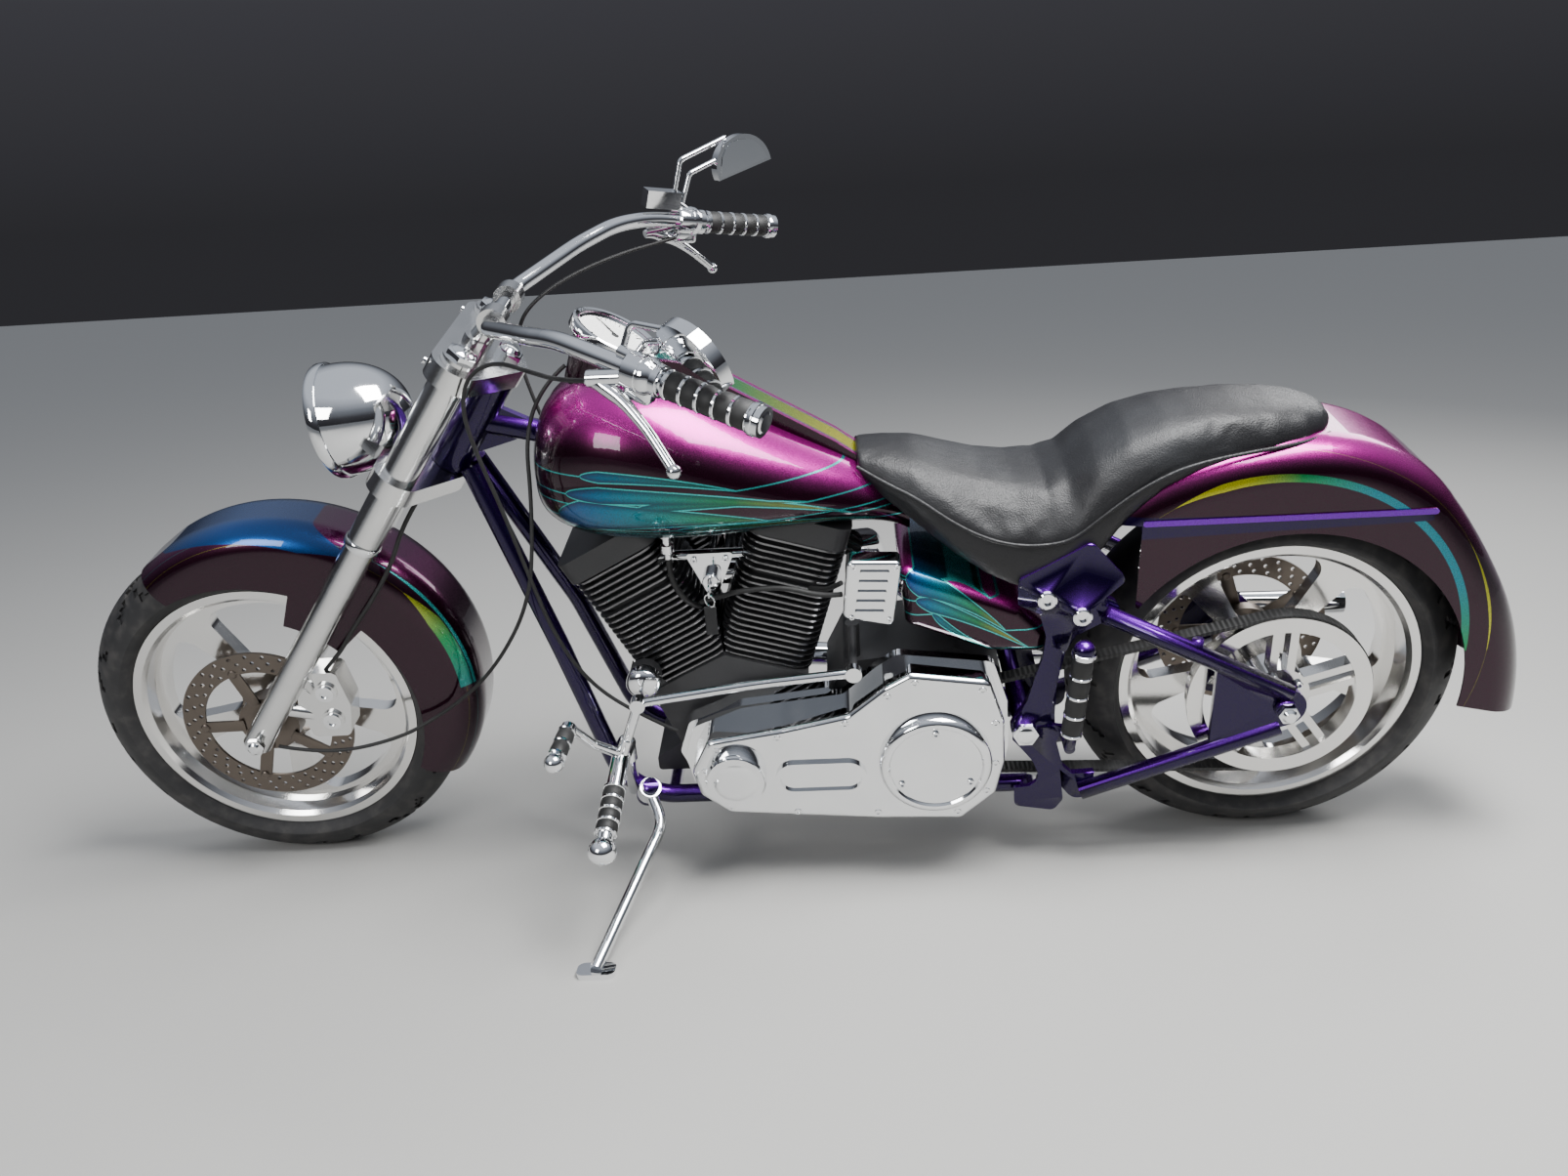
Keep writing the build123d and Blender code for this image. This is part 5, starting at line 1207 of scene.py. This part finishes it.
def seat_ring(x, half, top, welt, edge):
    """Places round one section of the seat: crowned top, full sides, skirts and a hollow underside."""
    rise = top - welt
    under = min(welt, top - SEAT_PAD)
    side = [
        (0.18, top - 0.01 * rise), (0.36, top - 0.04 * rise), (0.54, top - 0.10 * rise), (0.70, top - 0.20 * rise),
        (0.84, top - 0.38 * rise), (0.94, top - 0.66 * rise), (1.0, welt), (1.0, (welt + edge) / 2), (0.975, edge + 3),
        (0.93, edge), (0.84, edge + 4), (0.76, (edge + under) / 2), (0.66, under), (0.33, under),
    ]
    right = [(x, half * share, z) for share, z in side]
    left = [(x, -half * share, z) for share, z in side[::-1]]
    return [Vector(v) * MM for v in [(x, 0, top)] + right + [(x, 0, under)] + left]


# %% Cushion
rings = [seat_ring(*row) for row in SEAT_ROWS]
count = len(rings[0])
places = [place for ring in rings for place in ring]
firsts = range(0, len(places), count)
seat = meshed("seat_cushion", places, [edge for first in firsts for edge in closed(first, count)])
with editing(seat):
    bpy.ops.mesh.bridge_edge_loops()
    bpy.ops.mesh.select_mode(type="VERT")
    for first in (firsts[0], firsts[-1]):
        bpy.ops.mesh.select_all(action="DESELECT")
        bpy.ops.object.mode_set(mode="OBJECT")
        for vertex in seat.data.vertices[first:first + count]:
            vertex.select = True
        bpy.ops.object.mode_set(mode="EDIT")
        bpy.ops.mesh.edge_face_add()
    outward()
    bpy.ops.transform.shrink_fatten(value=-0.002)
modified(seat, "REMESH", mode="VOXEL", voxel_size=SEAT_CELL)
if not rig.quick():
    at_rest = [v.co.copy() for v in seat.data.vertices]
    cloth = seat.modifiers.new("cover", "CLOTH")
    cloth.settings.quality = 5
    cloth.settings.use_pressure = True
    cloth.settings.uniform_pressure_force = 4.0
    cloth.settings.effector_weights.gravity = 0.0
    cloth.settings.tension_stiffness = 20
    cloth.settings.compression_stiffness = 20
    for step in range(1, 21):
        bpy.context.scene.frame_set(step)
    bpy.ops.object.modifier_apply(modifier="cover")
    bpy.context.scene.frame_set(1)
    for vertex, start in zip(seat.data.vertices, at_rest):
        moved = vertex.co - start
        if moved.length > SEAT_SWELL:
            vertex.co = start + moved.normalized() * SEAT_SWELL
modified(seat, "SMOOTH", iterations=8)
modified(seat, "SUBSURF", levels=1, render_levels=1)
fender = NODES["rear_fender"].data.copy()
fender.transform(LEANED.inverted() @ NODES["rear_fender"].matrix_world)
crown = BVHTree.FromPolygons([v.co for v in fender.vertices], [p.vertices for p in fender.polygons])
for vertex in seat.data.vertices:
    if vertex.co.x < FENDER_REACH:
        spot = crown.ray_cast(Vector((vertex.co.x, vertex.co.y, 1.2)), Vector(DOWN))[0]
        if spot is not None and spot.z > vertex.co.z:
            vertex.co.z = spot.z + 0.0004
bpy.data.meshes.remove(fender)
seat.data.transform(LEANED)
smoothed(seat)
dressed(seat, "frame", "black_leather")
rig.replaces(seat, "seat")
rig.padded(seat, fill=0.8)


# %% Piping
def tube(name, places, radius, slot="black_rubber"):
    """Bent tube on the frame, through upright places in millimetres."""
    made, _ = tube_from(smooth_route(name, [LEANED @ (Vector(p) * MM) for p in places]), radius * MM, name)
    dressed(made, "frame", slot)


for side, word in SIDES:
    welt = [(x, side * (half + 1.5), z) for x, half, _, z, _ in SEAT_ROWS[:-1]]
    tube("seat_piping_" + word, welt, PIPING_RADIUS, "black_leather")

# %% [markdown]
# ### Grips and pegs
# All of them are black rubber sleeves between narrow chrome rings, some with a stepped chrome end. One function
# turns them from the length and the radius.

# %% Grips and pegs
RING = 5.0
# distance from the sleeve's radius, and along the line from the ring's or the cap's start
RING_STEPS = [(-4, 0), (0, 0), (1.2, 1), (1.2, 4), (0, 5), (-4, 5)]
CAP_STEPS = [(2, -2), (3, 0), (3, 5), (1, 6), (0, 6), (0, 10), (-3, 11), (-4, 11), (-4, 14), (-7, 16)]
BAR_KNEE = Vector((1002, 356, 1036))
BAR_END = Vector((803, 469, 983))
bar_way = (BAR_END - BAR_KNEE).normalized()


def ringed_sleeve(name, start, end, radius, sections, carrier=FRAME, cap=False):
    """Rubber sleeves and chrome rings in turn along a line."""
    a = Vector(start) * MM
    b = Vector(end) * MM
    along = (b - a).normalized()
    length = (b - a).length / MM
    pitch = (length - RING) / sections
    rubbers = []
    rings = []
    for i in range(sections):
        low = i * pitch + RING
        high = (i + 1) * pitch
        belly = [
            (radius - 4, low), (radius - 1, low), (radius, low + 2), (radius + 0.6, (low + high) / 2),
            (radius, high - 2), (radius - 1, high), (radius - 4, high),
        ]
        rubbers.append(lathe(belly, a, along, 40))
    for i in range(sections + 1):
        rings.append(lathe([(radius + r, i * pitch + d) for r, d in RING_STEPS], a, along, 40))
    if cap:
        steps = [(radius + r, length + d) for r, d in CAP_STEPS]
        rings.append(lathe([(0, length - 2), *steps, (0, length + 16)], a, along, 40))
    parked(joined(rubbers), name + "_rubber", *carrier, "black_rubber")
    parked(joined(rings), name + "_rings", *carrier)


for side, word in SIDES:
    mirrored = Vector((1, side, 1))
    grip = [(BAR_END + bar_way * distance) * mirrored for distance in (-122, 2)]
    ringed_sleeve("grip_" + word, *grip, 18.6, 5, FORK, cap=True)
    hub = Vector((1063, 240, 331)) * mirrored
    tip = Vector((1076, 400, 274)) * mirrored
    ringed_sleeve("rider_peg_" + word, hub.lerp(tip, 0.34), hub.lerp(tip, 0.84), 16.6, 4)
    peg_y = 190 if side > 0 else -246
    ringed_sleeve("passenger_peg_" + word, (343.5, peg_y, 308), (329.6, peg_y, 456), 16.4, 4, cap=True)
ringed_sleeve("toe_peg", (1123.5, 306, 429), (1129.8, 366, 424), 13.2, 2)

# %% [markdown]
# ### Lever perches
# Each perch is a full housing round the bar, with a clamp block below and a flared blade over the lever.

# %% Lever perches
HOUSING = [
    (12, 0), (21, 0), (24, 3), (25, 12), (25, 24), (23.4, 25), (23.4, 27), (25, 28), (25, 34), (22, 40),
    (19, 48), (18, 54), (12, 54),
]
LEVER_BLADE = [
    # x, y, z and radius
    (1012, 368, 1006, 7), (1000, 376, 1008, 10), (984, 384, 999, 11.5), (966, 397, 987, 9), (948, 413, 969, 7.5),
    (932, 427, 951, 7), (906, 458, 915, 6.5),
]
for side, word in SIDES:
    mirrored = Vector((1, side, 1))
    shell = lathe(HOUSING, (BAR_END - bar_way * 182) * MM * mirrored, bar_way * mirrored)
    clamp = box((0.040, 0.026, 0.024))
    modified(clamp, "BEVEL", width=0.007, segments=3)
    clamp.data.transform((bar_way * mirrored).to_track_quat("X", "Z").to_matrix().to_4x4())
    clamp.data.transform(Matrix.Translation((BAR_END - bar_way * 160 + Vector((6, -4, -24))) * MM * mirrored))
    smooth_under(40)
    parked(joined([shell, clamp]), "perch_" + word, *FORK)
    line = [Vector(row[:3]) * MM * mirrored for row in LEVER_BLADE]
    blade, _ = tube_from(smooth_route("blade", line, [row[3] for row in LEVER_BLADE], 12), MM, "blade", 4)
    parked(blade, "lever_blade_" + word, *FORK)

# %% [markdown]
# ### Fork, fasteners and turned pieces
# The fork's pieces are placed along its own axis. Each kind of screw or nut is turned once and copied with its
# own mesh. The rings, domes and covers are turned about the lamp's aim, the dial's axis or a line across.


# %% Places
def leaning(degrees):
    """Direction that leans back from upright by so many degrees."""
    return Vector((-math.sin(math.radians(degrees)), 0, math.cos(math.radians(degrees))))


RAKE = 36.0
STEER_AXIS = leaning(RAKE)
STEER_NORMAL = leaning(RAKE - 90)
STEER_FOOT = FRONT_AXLE / MM - STEER_NORMAL * 55.0
LEG_FORWARD = 56
LEG_SIDE = 115
AXLE_X = 1706
axle_z = FRONT_AXLE.z / MM


def on_fork(forward, across, up, way=STEER_AXIS):
    """Places on the fork, one for each y, and the way that they face."""
    return [(STEER_FOOT + STEER_NORMAL * forward + STEER_AXIS * up + Vector((0, y, 0)), way) for y in across]


def leftward(y, spots, x0=0, z0=0):
    """Places on the left side, y from the middle, from their x and z."""
    return [((x0 + x, y, z0 + z), LEFT) for x, z in spots]


def paired(y, spots):
    """Places that mirror each other on both sides."""
    return [((x, side * y, z), (0, side, 0)) for x, z in spots for side in (-1, 1)]


# %% Fasteners
# radii and heights as shares of the whole, and the number of steps round
SCREW = [([(0, 0), (1, 0), (1, 0.8), (0.85, 1), (0.5, 1), (0.5, 0.4), (0, 0.4)], 24)]
NUT = [
    ([(0, 0), (1, 0), (1, 0.6), (0.9, 0.66), (0, 0.66)], 6),
    ([(0, 0), (0.72, 0), (0.72, 0.7), (0.5, 0.92), (0, 1)], 28),
]
COVER_SCREWS = [
    (938, 266), (915, 306), (815, 326), (705, 349), (636, 398), (592, 421), (486, 403), (465, 340), (464, 262),
    (478, 207), (525, 166), (657, 170), (790, 177), (900, 191),
]
FASTENERS = [
    # name, kind, radius, height, places and what carries them
    ("primary_screws", SCREW, 6.5, 6.0, leftward(193, COVER_SCREWS), FRAME),
    ("derby_screws", SCREW, 6.0, 4.0, leftward(211.6, circle(3, 64, 90), 561, 269), FRAME),
    ("plate_bolts", SCREW, 15.0, 8.0, paired(162.8, [(385, 542), (330, 510)]), FRAME),
    ("pivot_nuts", NUT, 21.0, 13.0, paired(162.8, [(412, 294)]), FRAME),
    ("rear_axle_nuts", NUT, 17.0, 20.0, paired(172.8, [(0, 324)]), FRAME),
    ("front_axle_nuts", NUT, 16.0, 14.0, [((AXLE_X, 146.8, axle_z), LEFT), ((AXLE_X, -139, axle_z), RIGHT)], FORK),
    ("pulley_bolts", SCREW, 7.0, 7.0, leftward(125.8, circle(5, 36), 0, 324), (LEANED, "rear_wheel")),
    ("caliper_caps", SCREW, 15.0, 4.0, leftward(114.8, [(-126, 20), (-126, 76)], AXLE_X, axle_z), FORK),
    ("key_plate_screws", SCREW, 5.0, 4.0, leftward(110.8, [(930, 612), (880, 612), (905, 560)]), FRAME),
    ("coil_cover_screws", SCREW, 4.0, 2.5, leftward(181.8, [(686, 536), (628, 530), (614, 620), (680, 623)]), FRAME),
    ("fork_caps", NUT, 24.0, 17.0, on_fork(LEG_FORWARD, (-LEG_SIDE, LEG_SIDE), 794.6), FORK),
    ("stem_nut", NUT, 22.0, 22.0, on_fork(0, (0,), 783.8), FORK),
    ("tree_screws", SCREW, 6.0, 5.0, on_fork(96, (-123, 123), 768, STEER_NORMAL), FORK),
]


def copies(model, places, name, matrix=LEANED, body="frame"):
    """Copies of a model at (point, direction) places as one chrome piece; the model itself is used up."""
    made = []
    for point, direction in places:
        twin = linked("copy", model.data.copy())
        twin.data.transform(Matrix.Translation(Vector(point) * MM) @ toward(direction))
        made.append(twin)
    bpy.data.objects.remove(model)
    parked(joined(made), name, matrix, body)


for name, kind, radius, height, places, carrier in FASTENERS:
    turned = [lathe([(radius * r, height * d) for r, d in shares], steps=steps) for shares, steps in kind]
    copies(joined(turned), places, name, *carrier)
SEAL = [(25.2, 0), (28.6, 0), (29.4, 2), (29.4, 11), (28.4, 13), (25.2, 13)]
copies(lathe(SEAL, steps=40), on_fork(LEG_FORWARD, (-LEG_SIDE, LEG_SIDE), 430), "fork_collars", *FORK)
CLAMP_BAND = [(22.3, 0), (24.6, 0.6), (25.2, 3), (25.2, 11), (24.6, 13.4), (22.3, 14)]
CLAMPS = [
    ((660, -200, 235.8), (1, 0, 0)), ((180, -200, 233.2), (1, 0, 0)), ((520, -200, 342), (1, 0, 0.07)),
    ((60, -200, 314.8), (1, 0, 0.02)),
]
copies(lathe(CLAMP_BAND, steps=40), CLAMPS, "pipe_clamps")

# %% Rings, domes and covers
DIAL = (1026, 0, 950)
dial_way = leaning(30.5)
KEY = (905, 122, 580)
TURNED = [
    # name, what carries it, origin, direction, steps round and profile of radii and distances
    ("derby_ring", FRAME, (561, 198, 269), LEFT, 72, [
        (74, 0), (92, 0), (92, 7), (90, 12), (86, 16.5), (81, 18.5), (77, 18), (74, 15),
    ]),
    ("cap_dome", FRAME, (887, 198, 256), LEFT, 72, [
        (0, 15), (0, 25.5), (12, 25.5), (26, 24.8), (34, 23), (40, 19.5), (46, 18.5), (49.5, 15), (50.5, 8),
        (50.5, 0), (44, 0), (40, 15),
    ]),
    ("lamp_ring", FORK, (1493, 0, 834), leaning(-98), 72, [
        (81.5, -2), (91, -12), (93, -8), (93, 1), (91, 5), (86, 8), (82, 7), (80.5, 3),
    ]),
    ("dial_bezel", FRAME, DIAL, dial_way, 72, [
        (58, -5), (61, -1), (63, 3), (68, 4), (71, 2), (72, -3), (72, -14), (70, -14), (70, -1), (62, -1), (60.5, -5),
    ]),
    ("breather_dome", FRAME, (1036, 0, 388), LEFT, 48, [
        (0, 100), (28.4, 100), (29.2, 103), (29.2, 116), (27, 121), (20, 126), (10, 129), (0, 130),
    ]),
    ("fuel_tap", FRAME, (974, 86, 656), DOWN, 32, [
        (0, 0), (9, 0), (12, 3), (12, 12), (7, 15), (7, 24), (11, 27), (11, 40), (6, 44), (6, 52), (0, 52),
    ]),
    ("cleaner_cover", FRAME, (910, -150, 536), RIGHT, 64, [
        (0, 0), (84.5, 0), (85.5, 4), (85.5, 40), (80, 50), (60, 55), (57, 52), (54, 55), (20, 58), (14, 62), (0, 63),
    ]),
    ("key_lock", FRAME, KEY, LEFT, 32, [
        (0, 0), (12, 0), (13.4, 1.5), (13.4, 6), (12, 7.5), (3, 7.5), (3, 5), (0, 5),
    ]),
]
for name, carrier, place, way, steps, profile in TURNED:
    parked(lathe(profile, Vector(place) * MM, way, steps), name, *carrier)

# %% [markdown]
# The dial's face is a disc with a scale of raised strokes and no figures, and a turned needle on a small hub.

# %% Dial
dial_place = Vector(DIAL) * MM
dial_paint = two_tone("dial_paint", 300.0, (0.72, 0.72, 0.70), (0.80, 0.80, 0.78))
mark_paint = two_tone("mark_paint", 300.0, (0.01, 0.01, 0.01), (0.03, 0.03, 0.03))
face = lathe([(0, -5.8), (60.5, -5.8), (60.5, -5.0), (0, -4.6)], dial_place, dial_way, 72)
parked(face, "dial_face", *FRAME, "lamp_glass", dial_paint)
marks = []
across = Vector(LEFT)
upward = dial_way.cross(across)
for i in range(31):
    angle = math.radians(-135 + 9 * i)
    out_way = upward * math.cos(angle) + across * math.sin(angle)
    wide, long = (1.6, 10) if i % 5 == 0 else (0.9, 5)
    mark = box((wide * MM, long * MM, 0.6 * MM))
    place = Matrix((out_way.cross(dial_way), out_way, dial_way)).transposed().to_4x4()
    place.translation = dial_place + out_way * (54 - long / 2) * MM - dial_way * 4.3 * MM
    mark.data.transform(place)
    marks.append(mark)
needle_way = (-upward - across).normalized()
marks.append(lathe([(0, -4.6), (6, -4.6), (6, -3.4), (0, -2.6)], dial_place, dial_way, 24))
marks.append(lathe([(0, 0), (1.6, 0), (0.5, 44), (0, 44)], dial_place - dial_way * 3.4 * MM, needle_way, 12))
parked(joined(marks), "dial_marks", *FRAME, "black_rubber", mark_paint)

# %% [markdown]
# ### Lines, leads and key
# The fuel line and the spark leads are tubes through listed places. The key hangs in its lock with a ring
# and a leather tag.

# %% Fuel line and spark leads
for name, radius, places in (
    ("fuel_line", 5.0, [(974, 86, 606), (973, 92, 580), (966, 94, 552), (948, 88, 520), (936, 60, 500)]),
    ("spark_lead_front", 4.2, [
        (700, 150, 560), (730, 140, 552), (790, 128, 566), (850, 122, 560), (884, 108, 546), (930, 82, 520),
    ]),
    ("spark_lead_rear", 4.2, [
        (700, 140, 575), (716, 128, 560), (728, 110, 548), (742, 92, 540), (752, 78, 534),
    ]),
):
    tube(name, places, radius)

# %% Key and its tag
key_place = Vector(KEY) * MM
blade = box((0.002, 0.026, 0.009), key_place + Vector((0, 0.017, 0)))
bow = lathe([(5, -1.2), (11, -1.2), (11, 1.2), (5, 1.2)], key_place + Vector((0, 0.036, 0)), (1, 0, 0), 28)
ring_place = key_place + Vector((0, 0.040, -0.015))
split_ring = lathe([(9.2, -0.9), (11, -0.9), (11, 0.9), (9.2, 0.9)], ring_place, (0.6, 0.8, 0), 28)
parked(joined([blade, bow, split_ring]), "key")
tag = box((0.019, 0.004, 0.050), key_place + Vector((0.001, 0.040, -0.050)))
with editing(tag):
    bpy.ops.mesh.bevel(offset=0.0016, segments=3)
parked(tag, "key_tag", *FRAME, "black_leather")

# %% [markdown]
# ### Mirrors
# Each head gets its glass: the same cat's-eye outline a little smaller, set into the side that faces the rider.

# %% Mirror glasses
MIRROR_HEADS = {
    # centre of the head, the way of its length and the way that it faces
    "left": ((868, 440, 1060), (-0.68, 0.67, -0.29), (-0.72, -0.60, 0.33)),
    "right": ((838, -460, 1112), (-0.80, -0.58, 0.15), (-0.57, 0.80, 0.05)),
}
GLASS_OUTLINE = [
    (-52, -21), (-30, -21.5), (0, -21), (30, -20), (49, -19), (45, -8), (38, 6), (29, 17), (14, 25), (-2, 28.5),
    (-18, 28.5), (-32, 21), (-42, 10), (-48, -4),
]
silver = two_tone("mirror_silver", 18.0, (0.86, 0.88, 0.90), (0.93, 0.94, 0.95), 0.02, 1.0)
for word, (centre, long_way, facing) in MIRROR_HEADS.items():
    out_way = Vector(facing).normalized()
    x_way = (Vector(long_way) - out_way * Vector(long_way).dot(out_way)).normalized()
    y_way = out_way.cross(x_way)
    flip = 1 if y_way.z >= 0 else -1
    spots = [Vector(centre) * MM + (x_way * x + y_way * y * flip + out_way * 9.2) * MM for x, y in GLASS_OUTLINE]
    glass = meshed("glass", spots, faces=[range(len(spots))])
    with editing(glass):
        bpy.ops.mesh.extrude_region_move(TRANSFORM_OT_translate={"value": out_way * 0.0012})
        bpy.ops.mesh.inset(thickness=0.0015)
        outward()
    parked(glass, "mirror_glass_" + word, *FORK, "chrome", silver)

# %% [markdown]
# ### Studio
# The machine stands on a plain pale floor, in soft light from above, from its left and from behind.

# %% Floor and light
bpy.ops.object.select_all(action="DESELECT")
bpy.ops.mesh.primitive_plane_add(size=30)
floor = bpy.context.object
floor.name = "studio_floor"
floor_paint, floor_tree, floor_shader = new_material("studio_floor_paint")
fill(floor_tree, floor_shader, {"Base Color": (0.36, 0.355, 0.34), "Roughness": 0.85})
floor.data.materials.append(floor_paint)
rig.stage(floor)
world = bpy.data.worlds.new("studio")
world.use_nodes = True
tree = world.node_tree
height = split(tree, own_space(tree, "Generated"))[2]
SHADES = [
    (0.0, (0.035, 0.035, 0.04)), (0.14, (0.06, 0.06, 0.07)), (0.38, (0.24, 0.26, 0.30)), (0.75, (0.75, 0.80, 0.90)),
]
fill(tree, tree.nodes["Background"], {"Color": ramp(tree, height, SHADES), "Strength": 0.8})
bpy.context.scene.world = world
for name, place, aim, size, power in [
    ("over", (-0.9, 0.7, 2.9), (-0.1, 0, 0.5), 1.6, 240),
    ("side", (2.2, 3.4, 2.2), (0, 0, 0.4), 1.4, 90),
    ("back", (-2.4, -2.2, 2.6), (0, 0, 0.5), 1.6, 70),
]:
    light = bpy.data.lights.new("light_" + name, "AREA")
    light.size = size
    light.energy = power
    lamp = linked("light_" + name, light)
    lamp.location = place
    lamp.rotation_euler = (Vector(aim) - Vector(place)).to_track_quat("-Z", "Y").to_euler()

# %% Sizes
low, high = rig.bounds()
print("the model reaches from", list(low), "to", list(high))
with open("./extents.json", "w") as out:
    json.dump({"cad": [list(v) for v in CAD_BOX], "scene": [list(low), list(high)]}, out)
